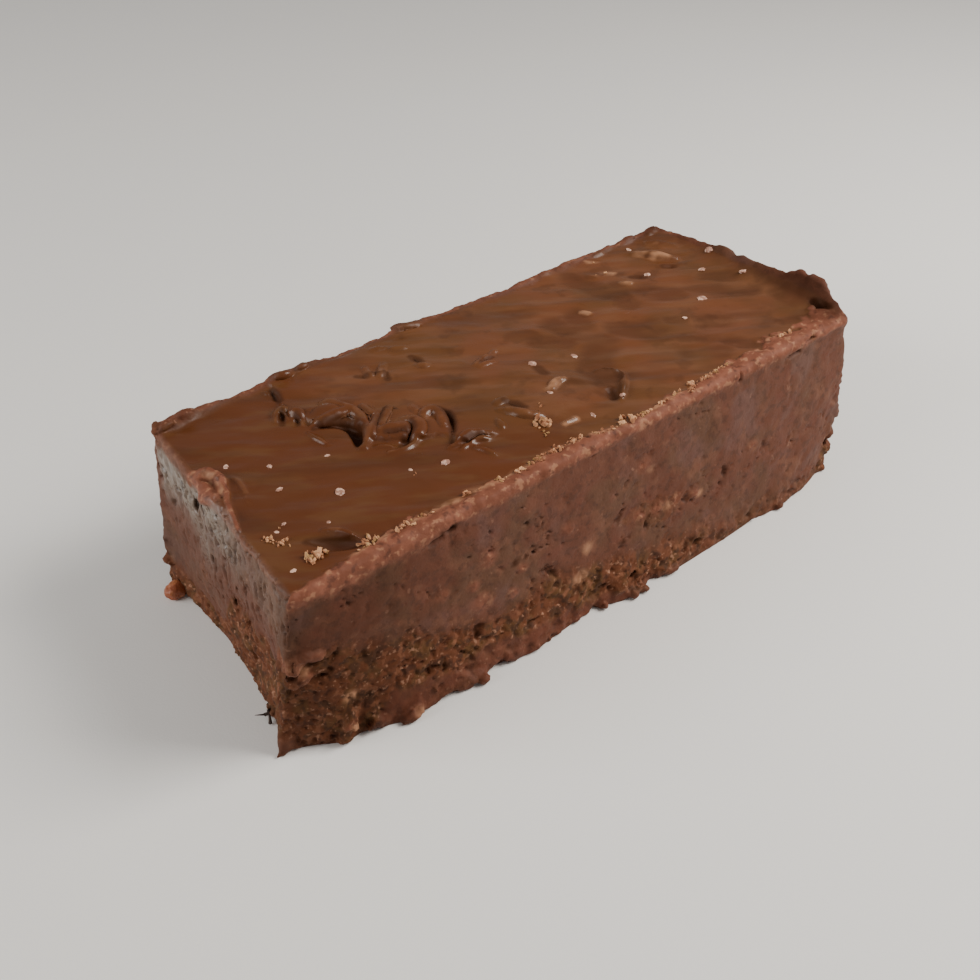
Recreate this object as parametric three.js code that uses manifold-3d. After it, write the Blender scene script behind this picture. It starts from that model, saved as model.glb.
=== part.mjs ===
// Chocolate fudge bar: one hand-cut piece with a glossy poured top and matte, pitted cut sides.
// Millimetres, +Z up. The origin is the middle of the flat underside, and +X runs along the bar.
// The front is the long cut side at -Y, and the left end is the short cut side at -X.
import * as THREE from "three";
import { mergeVertices } from "three/addons/utils/BufferGeometryUtils.js";
import Module from "manifold-3d";

const wasm = await Module();
wasm.setup();

// The piece before the knife and the tray made it uneven.
const LENGTH = 115;
const WIDTH = 48;
const HEIGHT = 32;

// How far hand cutting left each corner from the even block: x, y at the base, and x, y, z at the top.
const CORNERS = {
  leftFront: { base: [-3.4, 1.2], top: [0.5, -0.9, -0.8] },
  rightFront: { base: [1.1, -1.0], top: [0.3, 0.6, 0.9] },
  rightBack: { base: [0.5, 0.8], top: [-1.3, 1.4, 0.1] },
  leftBack: { base: [-0.2, -0.2], top: [3.1, -1.1, -0.5] },
};

// How far the sides bow: the long ones stand out at the base, the left end is hollow there,
// and the right end is bowed along its width and bellied along its height.
const FRONT_FLARE = { left: 5.6, right: 3.0 };
const BACK_FLARE = 1.4;
const LEFT_HOLLOW = 2.4;
const RIGHT_BOW = 1.6;
const RIGHT_BELLY = 1.0;

// The skin that set on the poured top is dragged over its edges by the knife.
const LIP_WIDTH = 3.2;
const LIP_RISE = 0.9;
const LIP_OVERHANG = 0.7;
const LIP_DROP = 3.0;

// A torn burr stands along the right end of the top: it rises steeply near the front corner, from
// startY to crestY, and dies away from fallY to endY. A hollow lies behind it.
const BURR = { rise: 4.2, lean: 2.6, reach: 3.8, startY: -20, crestY: -11, fallY: -4, endY: 26 };
const BURR_HOLLOW = { depth: 0.9, reach: 8 };

// Fudge that was spread last lies a little higher over the back of the top: it starts at startX and
// startY with a front of this width, and thins out to nothing at fadeX.
const SPREAD = { rise: 0.8, startX: -35, fadeX: 15, startY: -2, front: 3 };

// Unevenness: how high the lumps of each kind stand, and how long one is along x, y and z.
const SWELL = { height: 0.45, length: [13, 8, 1] };
const RIPPLE = { height: 0.18, length: [5, 4, 1] };
const LIP_UNEVENNESS = { height: 0.45, length: [6, 6, 1] };
const DRAG_MARKS = { height: 0.55, length: [9, 9, 7] };
const CRUMBLE = { height: 1.1, length: [3.5, 3.5, 3] };

// The cut sides are crumbly up to this height above the base.
const CRUMBLE_HEIGHT = 11;

const GRID = { along: 40, across: 17, up: 9 };

// Spare fudge below the base, which is trimmed off to leave the underside flat.
const SPARE = 1.5;

const { lerp, smoothstep, clamp } = THREE.MathUtils;

// A repeatable random draw from 0 to 1.
function seeded(seed) {
  let state = seed;
  return () => {
    state = (state * 1664525 + 1013904223) % 4294967296;
    return state / 4294967296;
  };
}

function hash(i, j, k) {
  const s = Math.sin(i * 127.1 + j * 311.7 + k * 74.7) * 43758.5453;
  return (s - Math.floor(s)) * 2 - 1;
}

// Smooth value noise from -1 to 1, with one lump to each unit.
function noise(x, y, z) {
  const [i, j, k] = [x, y, z].map(Math.floor);
  const [a, b, c] = [x - i, y - j, z - k].map((t) => t * t * (3 - 2 * t));
  const row = (dj, dk) => lerp(hash(i, j + dj, k + dk), hash(i + 1, j + dj, k + dk), a);
  return lerp(lerp(row(0, 0), row(1, 0), b), lerp(row(0, 1), row(1, 1), b), c);
}

// 1 over most of an edge's length, falling to 0 at its two corners.
const plateau = (t) => 1 - Math.abs(2 * t - 1) ** 6;

// The height at a place of the lumps of one kind of unevenness.
function lumps({ height, length }, x, y, z) {
  return height * noise(x / length[0], y / length[1], z / length[2]);
}

// A hump of height 1 over 0 to width. It starts part way up, and its crest is a third of the way in.
function hump(distance, width) {
  const [start, crest] = [0.6, 0.3];
  const t = clamp(distance / width, 0, 1);
  if (t < crest) return lerp(start, 1, Math.sin(((t / crest) * Math.PI) / 2));
  return 0.5 + 0.5 * Math.cos(((t - crest) / (1 - crest)) * Math.PI);
}

// How much of the burr stands at this place along the right end, from 0 to 1.
function burrShare(y) {
  const ragged = 0.85 + 0.15 * noise(y / 2.5, 4, 9);
  return ragged * smoothstep(y, BURR.startY, BURR.crestY) * (1 - smoothstep(y, BURR.fallY, BURR.endY));
}

// How far the poured top stands above the straight plane through its corners.
function topRise(x, y) {
  const uneven = lumps(SWELL, x, y, 3) + lumps(RIPPLE, x, y, 7);
  const spread =
    smoothstep(x, SPREAD.startX - SPREAD.front / 2, SPREAD.startX + SPREAD.front / 2) *
    (1 - smoothstep(x, 0, SPREAD.fadeX)) *
    smoothstep(y, SPREAD.startY, SPREAD.startY + 2 * SPREAD.front);

  const fromRight = LENGTH / 2 - x;
  const lipRise = LIP_RISE * (0.75 + lumps(LIP_UNEVENNESS, x, y, 11));
  const frontLip = lipRise * hump(WIDTH / 2 + y, LIP_WIDTH);
  const backLip = 0.5 * lipRise * hump(WIDTH / 2 - y, 0.7 * LIP_WIDTH);
  const leftLip = 0.6 * lipRise * hump(LENGTH / 2 + x, 0.6 * LIP_WIDTH);

  const burr = BURR.rise * hump(fromRight, BURR.reach);
  const hollow = BURR_HOLLOW.depth * hump(fromRight - BURR.reach, BURR_HOLLOW.reach - BURR.reach);
  const rim = fromRight < BURR.reach ? burr : -hollow;
  return uneven + SPREAD.rise * spread + Math.max(frontLip, backLip, leftLip) + rim * burrShare(y);
}

// How far a cut side stands out: crumbly low down, smeared and fairly flat above.
function cutRelief(x, y, z) {
  const crumbly = 1 - smoothstep(z, 0.5 * CRUMBLE_HEIGHT, 1.4 * CRUMBLE_HEIGHT);
  return lumps(DRAG_MARKS, x, y, z) + crumbly * lumps(CRUMBLE, x + 70, y, z);
}

// The place on the bar of a share u of its length, w of its width and v of its height.
function place(u, w, v) {
  const [halfL, halfW] = [LENGTH / 2, WIDTH / 2];
  const corner = (name, nominalX, nominalY) => {
    const { base, top } = CORNERS[name];
    const [x, y] = [0, 1].map((i) => lerp(base[i], top[i], v));
    return new THREE.Vector3(nominalX + x, nominalY + y, v * (HEIGHT + top[2]));
  };
  const front = corner("leftFront", -halfL, -halfW).lerp(corner("rightFront", halfL, -halfW), u);
  const back = corner("leftBack", -halfL, halfW).lerp(corner("rightBack", halfL, halfW), u);
  const p = front.lerp(back, w);
  const frontFlare = lerp(FRONT_FLARE.left, FRONT_FLARE.right, u);
  p.y += (1 - v) * plateau(u) * (BACK_FLARE * w - frontFlare * (1 - w));
  p.x += plateau(w) * (LEFT_HOLLOW * (1 - v) * (1 - u) + RIGHT_BOW * u);
  p.x += RIGHT_BELLY * Math.sin(Math.PI * v) * u;

  const outward = (share) => (share > 0.9999 ? 1 : share < 0.0001 ? -1 : 0);
  const relief = cutRelief(p.x, p.y, p.z);
  const overhang = LIP_OVERHANG * smoothstep(p.z, HEIGHT - 1.3 * LIP_DROP, HEIGHT - 0.5 * LIP_DROP);
  const nominalY = (w - 0.5) * WIDTH;
  const lean = BURR.lean * burrShare(nominalY) * smoothstep(v, 0.7, 1) * smoothstep(u, 0.95, 1);
  p.x += outward(u) * (relief + overhang) + lean;
  p.y += outward(w) * (relief + overhang);
  if (v > 0.9999) p.z += topRise((u - 0.5) * LENGTH, nominalY);
  if (v < 0.0001) p.z -= SPARE;
  return p;
}

// The point of a face with the two coordinates that are wanted, found by correcting the shares
// that are not fixed.
function onFace(fixed, wanted) {
  const span = { x: LENGTH, y: WIDTH, z: HEIGHT };
  const share = { x: 0.5, y: 0.5, z: 0.5, ...fixed };
  for (let round = 0; round < 4; round++) {
    const p = place(share.x, share.y, share.z);
    for (const axis in wanted) share[axis] += (wanted[axis] - p[axis]) / span[axis];
  }
  return place(share.x, share.y, share.z);
}

const onTop = (x, y) => onFace({ z: 1 }, { x, y });
const onFront = (x, z) => onFace({ y: 0 }, { x, z });
const onBack = (x, z) => onFace({ y: 1 }, { x, z });
const onLeft = (y, z) => onFace({ x: 0 }, { y, z });
const onRight = (y, z) => onFace({ x: 1 }, { y, z });

// A closed geometry as a solid that manifold-3d can join and cut.
function solidOf(geometry) {
  geometry.deleteAttribute("normal");
  geometry.deleteAttribute("uv");
  const merged = mergeVertices(geometry, 1e-4);
  return new wasm.Manifold(
    new wasm.Mesh({
      numProp: 3,
      vertProperties: merged.attributes.position.array,
      triVerts: new Uint32Array(merged.index.array),
    }),
  );
}

// The bar's uneven block. Its grid is finer towards the edges, where the lips are.
function block() {
  const edgeBias = 0.5;
  const crowd = (t) => t - (edgeBias * Math.sin(2 * Math.PI * t)) / (2 * Math.PI);
  const geometry = new THREE.BoxGeometry(1, 1, 1, GRID.along, GRID.across, GRID.up);
  const position = geometry.attributes.position;
  for (let i = 0; i < position.count; i++) {
    const [u, w, v] = [position.getX(i), position.getY(i), position.getZ(i)].map((t) => crowd(t + 0.5));
    const p = place(u, w, v);
    position.setXYZ(i, p.x, p.y, p.z);
  }
  return solidOf(geometry);
}

// A long bean: a ball drawn out along X and curved by the angle bend, then rolled about its length
// and turned about Z. Angles are in degrees.
function bean({ at, size, turn = 0, roll = 0, bend = 0 }) {
  const geometry = new THREE.SphereGeometry(1, 8, 6);
  geometry.rotateZ(Math.PI / 2);
  geometry.scale(size[0] / 2, size[1] / 2, size[2] / 2);
  const position = geometry.attributes.position;
  const radius = bend ? size[0] / THREE.MathUtils.degToRad(bend) : 0;
  for (let i = 0; bend && i < position.count; i++) {
    const angle = position.getX(i) / radius;
    const reach = radius - position.getY(i);
    position.setX(i, reach * Math.sin(angle));
    position.setY(i, radius - reach * Math.cos(angle));
  }
  geometry.rotateX(THREE.MathUtils.degToRad(roll));
  geometry.rotateZ(THREE.MathUtils.degToRad(turn));
  geometry.translate(at.x, at.y, at.z);
  return solidOf(geometry);
}

// A rough lump of fudge. Detail 0 has 20 faces and detail 1 has 80.
function lump(at, [length, depth, height], seed, detail = 1) {
  const geometry = new THREE.IcosahedronGeometry(1, detail);
  const position = geometry.attributes.position;
  for (let i = 0; i < position.count; i++) {
    const p = new THREE.Vector3().fromBufferAttribute(position, i);
    const swell = 1 + 0.28 * noise(p.x * 2.2 + seed, p.y * 2.2, p.z * 2.2);
    position.setXYZ(i, (p.x * swell * length) / 2, (p.y * swell * depth) / 2, (p.z * swell * height) / 2);
  }
  geometry.translate(at.x, at.y, at.z);
  return solidOf(geometry);
}

// How far a ridge's middle lies below the top, and a gouge's middle above it, as a share of its height.
const RIDGE_SINK = 0.2;
const GOUGE_LIFT = 0.16;

// Ridges where the spreading knife pulled the setting top up: place, size, turn, roll and curve of each.
const RIDGES = [
  { x: -36.6, y: 14.4, size: [5.2, 1.6, 2.7], turn: 40, roll: 12, bend: 25 },
  { x: -34.6, y: 12.0, size: [4.8, 1.4, 2.4], turn: 118, roll: -10, bend: -20 },
  { x: -30.2, y: 7.6, size: [9.5, 4.6, 3.5], turn: -14, roll: -14, bend: 20 },
  { x: -27.6, y: 3.4, size: [8.4, 2.5, 3.0], turn: 62, roll: 16, bend: -45 },
  { x: -24.0, y: -1.8, size: [6.3, 1.9, 2.6], turn: 48, roll: -15, bend: 60 },
  { x: -21.4, y: -3.6, size: [6.9, 2.2, 3.2], turn: 70, roll: 18, bend: 80 },
  { x: -18.2, y: 14.0, size: [5.2, 3.2, 3.2], turn: 52, roll: 0, bend: 15 },
  { x: -17.4, y: -1.6, size: [6.3, 3.2, 2.7], turn: -8, roll: -12, bend: 35 },
  { x: -15.8, y: -11.4, size: [8.8, 2.2, 2.6], turn: 6, roll: 10, bend: 25 },
  { x: -6.0, y: -10.4, size: [8.0, 2.0, 2.7], turn: -38, roll: 12, bend: 20 },
  { x: 12.6, y: -13.0, size: [5.7, 2.3, 2.0], turn: 60, roll: 0, bend: 30 },
  { x: 25.0, y: 8.8, size: [5.2, 3.2, 1.8], turn: 35, roll: 0, bend: 0 },
  { x: 49.6, y: 16.6, size: [8.9, 3.4, 2.2], turn: -55, roll: 0, bend: 15 },
  { x: -43.4, y: -18.4, size: [5.7, 1.9, 2.4], turn: -48, roll: 0, bend: -35 },
  { x: -53.0, y: 3.0, size: [10.5, 3.4, 3.8], turn: -72, roll: 0, bend: -50 },
  { x: -54.6, y: -8.0, size: [9.5, 2.9, 2.7], turn: -80, roll: 0, bend: 20 },
];

// Hollows beside them, where the knife lifted off or a bubble broke.
const GOUGES = [
  { x: -37.6, y: 12.6, size: [4.6, 3.1, 3.0], turn: 50, bend: 10 },
  { x: -34.9, y: 18.6, size: [4.8, 2.2, 2.4], turn: 80, bend: 0 },
  { x: -31.6, y: 5.2, size: [8.0, 2.2, 3.2], turn: -14, bend: 10 },
  { x: -29.4, y: 1.4, size: [8.4, 3.1, 4.6], turn: 66, bend: -35 },
  { x: -25.0, y: -3.0, size: [4.8, 2.6, 3.0], turn: 50, bend: 30 },
  { x: -23.6, y: -5.8, size: [7.4, 2.1, 3.2], turn: 30, bend: 60 },
  { x: -20.6, y: 14.0, size: [3.6, 2.3, 2.2], turn: 60, bend: 0 },
  { x: -16.6, y: 11.8, size: [3.6, 2.2, 2.2], turn: 50, bend: 0 },
  { x: -10.8, y: 12.6, size: [3.2, 2.6, 2.7], turn: 60, bend: 0 },
  { x: -16.4, y: -5.4, size: [9.5, 2.2, 3.8], turn: 68, bend: -30 },
  { x: -4.8, y: -8.0, size: [4.6, 2.6, 3.2], turn: -35, bend: 0 },
  { x: -46.2, y: -19.6, size: [8.8, 3.0, 3.5], turn: -42, bend: 20 },
  { x: 11.4, y: -12.0, size: [9.5, 5.1, 2.7], turn: 64, bend: 0 },
  { x: 18.6, y: 5.4, size: [9.9, 4.6, 2.3], turn: 80, bend: 0 },
];

// Lumps that stand out of the cut sides and the edges: where, and the size along, out and up.
const CRAGS = [
  { at: onTop(-53.0, 22.2), size: [4.6, 3.4, 2.2] },
  { at: onTop(-31.5, 23.0), size: [4.4, 2.4, 1.6] },
  { at: onTop(-27.0, 23.4), size: [3.6, 2.2, 1.8] },
  { at: onTop(-5.5, 23.0), size: [7.0, 2.6, 1.8] },
  { at: onTop(55.2, 22.6), size: [3.6, 3.4, 4.6] },
  { at: onFront(-56.4, 17.5), size: [4.4, 2.4, 4.6] },
  { at: onFront(-49.4, 2.6), size: [4.6, 3.4, 5.2] },
  { at: onFront(-40.0, 1.4), size: [7.5, 2.6, 3.4] },
  { at: onFront(-27.4, 1.2), size: [7.0, 2.4, 3.2] },
  { at: onFront(4.0, 1.4), size: [9.5, 3.0, 3.2] },
  { at: onFront(45.0, 2.0), size: [6.5, 2.6, 4.2] },
  { at: onRight(-23.4, 9.6), size: [2.6, 3.2, 4.6] },
  { at: onRight(-23.0, 3.8), size: [3.4, 3.4, 4.0] },
  { at: onLeft(-17.5, 2.4), size: [3.4, 4.0, 2.6] },
  { at: onLeft(22.4, 2.2), size: [6.6, 4.6, 4.4] },
];

// Bites out of the same places, where fudge broke away.
const BREAKS = [
  { at: onFront(-55.0, 13.0), size: [4.4, 1.7, 2.0] },
  { at: onFront(-34.4, 0.6), size: [4.4, 2.4, 2.6] },
  { at: onFront(-22.0, 0.6), size: [3.6, 2.6, 2.2] },
  { at: onFront(-3.4, 0.4), size: [3.0, 2.4, 2.2] },
  { at: onFront(33.6, 0.6), size: [8.0, 2.6, 2.6] },
  { at: onRight(-23.6, 6.6), size: [3.0, 2.4, 1.6] },
  { at: onTop(57.2, -17.2), size: [4.6, 4.2, 5.0] },
  { at: onLeft(-13.5, 8.5), size: [2.4, 13.0, 12.0] },
  { at: onLeft(15.4, 27.4), size: [1.4, 16.0, 1.3] },
];

// Air holes of the cut face: the largest on the front and the left end, as along and up.
const FRONT_PITS = [
  [-40.6, 24.6], [-38.4, 17.8], [-26.0, 13.0], [-9.8, 28.6], [3.0, 10.4], [8.6, 4.6], [19.8, 4.6],
  [35.2, 14.2], [43.2, 8.4],
];
const LEFT_PITS = [[3.3, 26.4], [10.9, 16.5], [-1.1, 9.4]];

// A side's own scatter of holes and crumbs, denser in the crumbly zone.
function scatter(onSide, span, count, seed, kind) {
  const random = seeded(seed);
  const made = [];
  for (let i = 0; i < count; i++) {
    const along = (random() - 0.5) * span;
    const up = kind === "crumb" ? 1 + random() ** 1.6 * CRUMBLE_HEIGHT : 2 + random() * (HEIGHT - 7);
    const width = kind === "crumb" ? 1.4 + 1.8 * random() : 0.9 + 0.9 * random();
    const stretch = 0.8 + 0.6 * random();
    made.push(lump(onSide(along, up), [width, width, width * stretch], seed + i, 0));
  }
  return made;
}

const pit = (at, i) => lump(at, [1.5, 1.5, 1.5 + 0.5 * (i % 3)], i, 0);

// Everything that is joined to the block.
function raised() {
  const ridges = RIDGES.map((r) => {
    const at = onTop(r.x, r.y);
    at.z -= RIDGE_SINK * r.size[2];
    return bean({ ...r, at });
  });
  const crags = CRAGS.map(({ at, size }, i) => lump(at, size, 3 * i));
  return [
    ...ridges,
    ...crags,
    ...scatter(onFront, LENGTH - 6, 10, 5, "crumb"),
    ...scatter(onLeft, WIDTH - 6, 3, 6, "crumb"),
    ...scatter(onBack, LENGTH - 6, 6, 7, "crumb"),
    ...scatter(onRight, WIDTH - 6, 3, 8, "crumb"),
  ];
}

// Everything that is cut from it.
function hollowed() {
  const gouges = GOUGES.map((g) => {
    const at = onTop(g.x, g.y);
    at.z += GOUGE_LIFT * g.size[2];
    return bean({ ...g, at });
  });
  const breaks = BREAKS.map(({ at, size }, i) => lump(at, size, 50 + 2 * i));
  return [
    ...gouges,
    ...breaks,
    ...FRONT_PITS.map(([along, up], i) => pit(onFront(along, up), i)),
    ...LEFT_PITS.map(([along, up], i) => pit(onLeft(along, up), i)),
    ...scatter(onBack, LENGTH - 8, 5, 21, "pit"),
    ...scatter(onRight, WIDTH - 8, 2, 22, "pit"),
  ];
}

// The half space above the underside, which leaves the base flat.
function aboveBase() {
  const size = 3 * LENGTH;
  const geometry = new THREE.BoxGeometry(size, size, size);
  geometry.translate(0, 0, size / 2);
  return solidOf(geometry);
}

// The largest body of a solid: a scrap that the cuts left loose is dropped.
function largest(solid) {
  return solid.decompose().reduce((a, b) => (a.volume() > b.volume() ? a : b));
}

function fudgeGeometry() {
  const joined = raised().reduce((whole, piece) => whole.add(piece), block());
  const cut = hollowed().reduce((whole, piece) => whole.subtract(piece), joined);
  const mesh = largest(cut.intersect(aboveBase())).getMesh();
  const geometry = new THREE.BufferGeometry();
  geometry.setAttribute("position", new THREE.BufferAttribute(mesh.vertProperties, 3));
  geometry.setIndex(new THREE.BufferAttribute(mesh.triVerts, 1));
  geometry.computeVertexNormals();
  return geometry;
}

const fudgeMaterial = new THREE.MeshStandardMaterial({
  color: 0x5f3b2a,
  roughness: 0.45,
  metalness: 0,
});

const fudge = new THREE.Mesh(fudgeGeometry(), fudgeMaterial);
fudge.name = "fudge_bar";

const bar = new THREE.Group();
bar.add(fudge);

export default bar;
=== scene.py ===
"""A hand-cut bar of chocolate fudge: its glossy poured top, the lip the knife dragged over the edges,
the matte cut sides with their air holes, and the crumbs and sugar grains that lie on it."""
import math
import random

import bpy
import numpy as np
from mathutils import Matrix, Vector, noise
from mathutils.bvhtree import BVHTree


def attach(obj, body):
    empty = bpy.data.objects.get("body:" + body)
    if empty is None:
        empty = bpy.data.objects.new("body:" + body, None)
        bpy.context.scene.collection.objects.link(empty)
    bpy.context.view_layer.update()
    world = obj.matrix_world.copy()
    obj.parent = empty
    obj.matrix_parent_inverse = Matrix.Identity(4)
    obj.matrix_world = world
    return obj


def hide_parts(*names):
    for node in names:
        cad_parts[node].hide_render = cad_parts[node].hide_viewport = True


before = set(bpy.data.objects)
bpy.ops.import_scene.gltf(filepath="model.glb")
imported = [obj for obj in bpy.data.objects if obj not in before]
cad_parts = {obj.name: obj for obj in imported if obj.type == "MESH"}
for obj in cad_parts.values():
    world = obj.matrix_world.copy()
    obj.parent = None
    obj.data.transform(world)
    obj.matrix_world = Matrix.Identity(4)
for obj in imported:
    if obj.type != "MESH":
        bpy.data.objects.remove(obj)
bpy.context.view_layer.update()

MM = 0.001

# The bar before hand cutting made it uneven, in mm.
LENGTH, WIDTH, HEIGHT = 115, 48, 32

# How far hand cutting left each corner from the even block, in mm: x, y at the base, and x, y, z at the top.
CORNERS = {
    "left_front": ((-3.6, 1.4), (0.3, -1.0, -0.8)),
    "right_front": ((1.1, -1.0), (0.3, 0.6, 0.9)),
    "right_back": ((0.5, 0.8), (-1.3, 1.4, 0.1)),
    "left_back": ((-0.5, 0.0), (2.6, -0.8, -0.4)),
}

# How far the sides bow, in mm: the long ones stand out at the base, the left end is hollow there,
# and the right end is bowed along its width and bellied along its height.
FRONT_FLARE_LEFT, FRONT_FLARE_RIGHT = 5.6, 3.0
BACK_FLARE = 1.4
LEFT_HOLLOW = 2.4
RIGHT_BOW = 1.6
RIGHT_BELLY = 1.0

# What recasting and smoothing wear off an edge, in mm, which is put on beforehand.
WEAR = 0.25

# The raised rims of the top, in mm: along the back edge and the torn right end they rise and fall.
FRONT_RIM, LEFT_RIM = 0.35, 0.35
BACK_RIM = (
    (-56, 1.5), (-51.5, 1.5), (-44, 0.7), (-37.5, 0.1), (-33, 1.2), (-27, 1.7), (-20, 0.1), (-12, 0.3),
    (-4.5, 1.1), (5, 0.4), (12, 0.3), (17, 0), (29, 0.6), (50, 0.5),
)
BURR = (
    (-23.5, 0), (-21.6, 0.7), (-20.4, 1.6), (-19, 2.3), (-17.4, 3.2), (-15.8, 4.1), (-13, 4.7), (-11.2, 4.4),
    (-9.4, 3.9), (-7.4, 3.1), (-4.5, 2.6), (-1, 2.3), (3, 2.2), (5, 1.6), (6.6, 2.2), (8, 2.5), (9.8, 2.2),
    (12, 1.7), (15, 1.1), (19, 1), (26, 0.7),
)

# How far the torn rim leans out for each mm that it rises, and how far below the top the rims start,
# in mm.
BURR_LEAN = 0.22
RIM_DEPTH = 7

# How the knife spread the top: the turn of its strokes in degrees, and how much longer than wide they are.
KNIFE_TURN, KNIFE_STRETCH = -32, 3.4

# How much taller than wide the slits of the left end are.
SLIT_STRETCH = 2.6

# The plate of the last spread, whose torn front edge crosses the top: its height, and that edge's x at
# each y, in mm.
SPREAD_RISE = 0.75
TORN_EDGE = (
    (-16, -8), (-13, -15), (-11, -19), (-9.5, -18.8), (-7, -20.5), (-5.5, -24.5), (-3, -27.5), (-1, -29.5),
    (2, -28.6), (5, -30), (7, -33.8), (10, -35.2), (14, -36.8), (19, -34.8), (24, -34.5),
)

# How far the dragged lip reaches over the top from the front edge, in mm, at each x.
LIP_REACH = (
    (-57, 0.3), (-51, 0.9), (-45, 1.9), (-38, 2.4), (-25, 2.5), (-12, 2.3), (-7, 3), (0, 1.6), (4, 0.7),
    (11, 0.8), (16, 1.9), (20, 1.4), (27, 2.4), (36, 3.5), (50, 3.9), (57, 4.6),
)

# Where the crumbly band of the front starts and ends, in mm above the base, at each x.
CRUMBLY_TOP = (
    (-60, 20), (-47, 18), (-38, 15), (-30, 12), (-22, 10.5), (-11, 11.5), (3, 9.5), (15, 7), (30, 4.5),
    (57, 3),
)
CRUMBLY_FOOT = (
    (-60, -1), (-49, 0), (-44, 6), (-36, 5), (-32, 3), (-28, 5.5), (-11, 3.5), (4, 1.5), (20, 0.5), (57, 0),
)

# Where the foot really stands: the front's y at each x, and the left end's x at each y, in mm.
FRONT_FOOT = (
    (-60, -20.8), (-58.5, -21.8), (-56, -23.2), (-52, -25.8), (-49.6, -25.7), (-43, -28.3), (-37, -28.6),
    (-32, -28.6), (-28, -28.6), (-25.6, -28.2), (-18, -29.2), (-11.5, -28.4), (-3, -27.4), (2.3, -29.2),
    (8, -28.3), (14, -28.8), (28, -28.1), (34, -27.6), (42.4, -27.8), (52, -26.2), (56.5, -24.9),
)
LEFT_FOOT = (
    (-21.8, -60.4), (-20.6, -59.7), (-19.4, -59), (-18, -58.4), (-12.5, -57.6), (-9, -57), (-4.7, -57),
    (-0.5, -56.6), (4, -56.2), (14, -56.6), (24.5, -57),
)

# The size of the cubes that the even block, the bar and the dark shaving are recast in, in mm.
BLOCK_CAST, SHAVING_CAST = 0.7, 0.09
CAST = 0.25

# How many triangles the bar may have.
MOST_TRIANGLES = 192_000

# How many points the cage that bends the block has, along, across and up.
CAGE_POINTS = (21, 9, 7)

# How far the ridges are lifted before the bar is recast, and how much of a base is trimmed off, in mm.
RIDGE_LIFT, BASE_TRIM = 0.12, 0.02

# How far out a ray starts, in mm, to be clear of the bar.
CLEAR = 100

# The seeds of the random draws: for the bar's lumps and holes, and for the crumbs and grains on it.
BAR_SEED, CRUMB_SEED = 7, 11

# What the lights are aimed at, in m.
LIGHT_AIM = (0, 0, 0.015)

# The camera: its sensor and lens in mm, its turn, height and roll in degrees, and what it looks at and
# from how far, in mm.
SENSOR, LENS = 36, 44.08
CAMERA_TURN = (-36.57, 38.02, -0.734)
CAMERA_TARGET, CAMERA_DISTANCE = (-5.517, -1.137, 10.583), 214.41


# ---------------------------------------------------------------- the bar's uneven block

def blend(a, b, t):
    """What lies at share t of the way from a to b."""
    return a + (b - a) * t


def step(value, start, end):
    """0 before start and 1 past end, with a smooth rise between."""
    t = np.clip((value - start) / (end - start), 0, 1)
    return t * t * (3 - 2 * t)


def fade(value, start, end):
    """1 before start and 0 past end, with a smooth fall between."""
    return 1 - step(value, start, end)


def along(value, pairs):
    """Reads a line of pairs, which give a height at each place, between and at its points."""
    return np.interp(value, *zip(*pairs))


def plateau(t):
    """1 over most of an edge's length, falling to 0 at its two corners."""
    return 1 - abs(2 * t - 1) ** 6


def place(u, w, v):
    """The point, in mm, at shares u, w and v of the bar's length, width and height."""

    def corner(name, x, y):
        base, top = CORNERS[name]
        return (
            x + blend(base[0], top[0], v),
            y + blend(base[1], top[1], v),
            v * (HEIGHT + top[2]),
        )

    half_l, half_w = LENGTH / 2, WIDTH / 2
    front = zip(corner("left_front", -half_l, -half_w), corner("right_front", half_l, -half_w))
    back = zip(corner("left_back", -half_l, half_w), corner("right_back", half_l, half_w))
    front = [blend(a, b, u) for a, b in front]
    back = [blend(a, b, u) for a, b in back]
    x, y, z = (blend(a, b, w) for a, b in zip(front, back))
    flare = blend(FRONT_FLARE_LEFT, FRONT_FLARE_RIGHT, u)
    y = y + (1 - v) * plateau(u) * (BACK_FLARE * w - flare * (1 - w))
    x = x + plateau(w) * (LEFT_HOLLOW * (1 - v) * (1 - u) + RIGHT_BOW * u)
    x = x + RIGHT_BELLY * np.sin(np.pi * v) * u
    return x, y, z


def points_of(piece):
    """A piece's points in mm, as three columns."""
    flat = np.empty(len(piece.data.vertices) * 3)
    piece.data.vertices.foreach_get("co", flat)
    return flat.reshape(-1, 3) / MM


def insets(points):
    """How far each point is from the front, back, left and right sides and from the top, in mm."""
    x, y, z = points.T
    u, w, v = (np.clip(s, 0, 1) for s in (x / LENGTH + 0.5, y / WIDTH + 0.5, z / HEIGHT))
    front = y - place(u, 0, v)[1]
    back = place(u, 1, v)[1] - y
    left = x - place(0, w, v)[0]
    right = place(1, w, v)[0] - x
    drop = place(u, w, 1)[2] - z
    return front, back, left, right, drop


def wander(points, length, seed):
    """Smooth noise from about -1 to 1 at each point, with lumps of this length in mm."""
    offset = Vector((seed, 3 * seed, 7 * seed))
    return np.array([noise.noise(Vector(p) / length + offset) for p in points])


def only(piece):
    """Makes a piece the only one that is selected and the active one."""
    bpy.ops.object.select_all(action="DESELECT")
    piece.select_set(True)
    bpy.context.view_layer.objects.active = piece


def new_piece(add_one, **settings):
    """Deselects everything, lets an operator add one object, and returns that object."""
    bpy.ops.object.select_all(action="DESELECT")
    add_one(**settings)
    return bpy.context.object


def finish_modifier(piece, kind, **settings):
    """Adds a modifier to a piece and applies it."""
    only(piece)
    modifier = piece.modifiers.new(kind.lower(), kind)
    for name, value in settings.items():
        setattr(modifier, name, value)
    bpy.ops.object.modifier_apply(modifier=modifier.name)
    return piece


def recast(piece, cube):
    """Melts all the shells of a piece into one skin of small cubes of this size in mm."""
    finish_modifier(piece, "REMESH", mode="VOXEL", voxel_size=cube * MM, use_smooth_shade=True)


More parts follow.
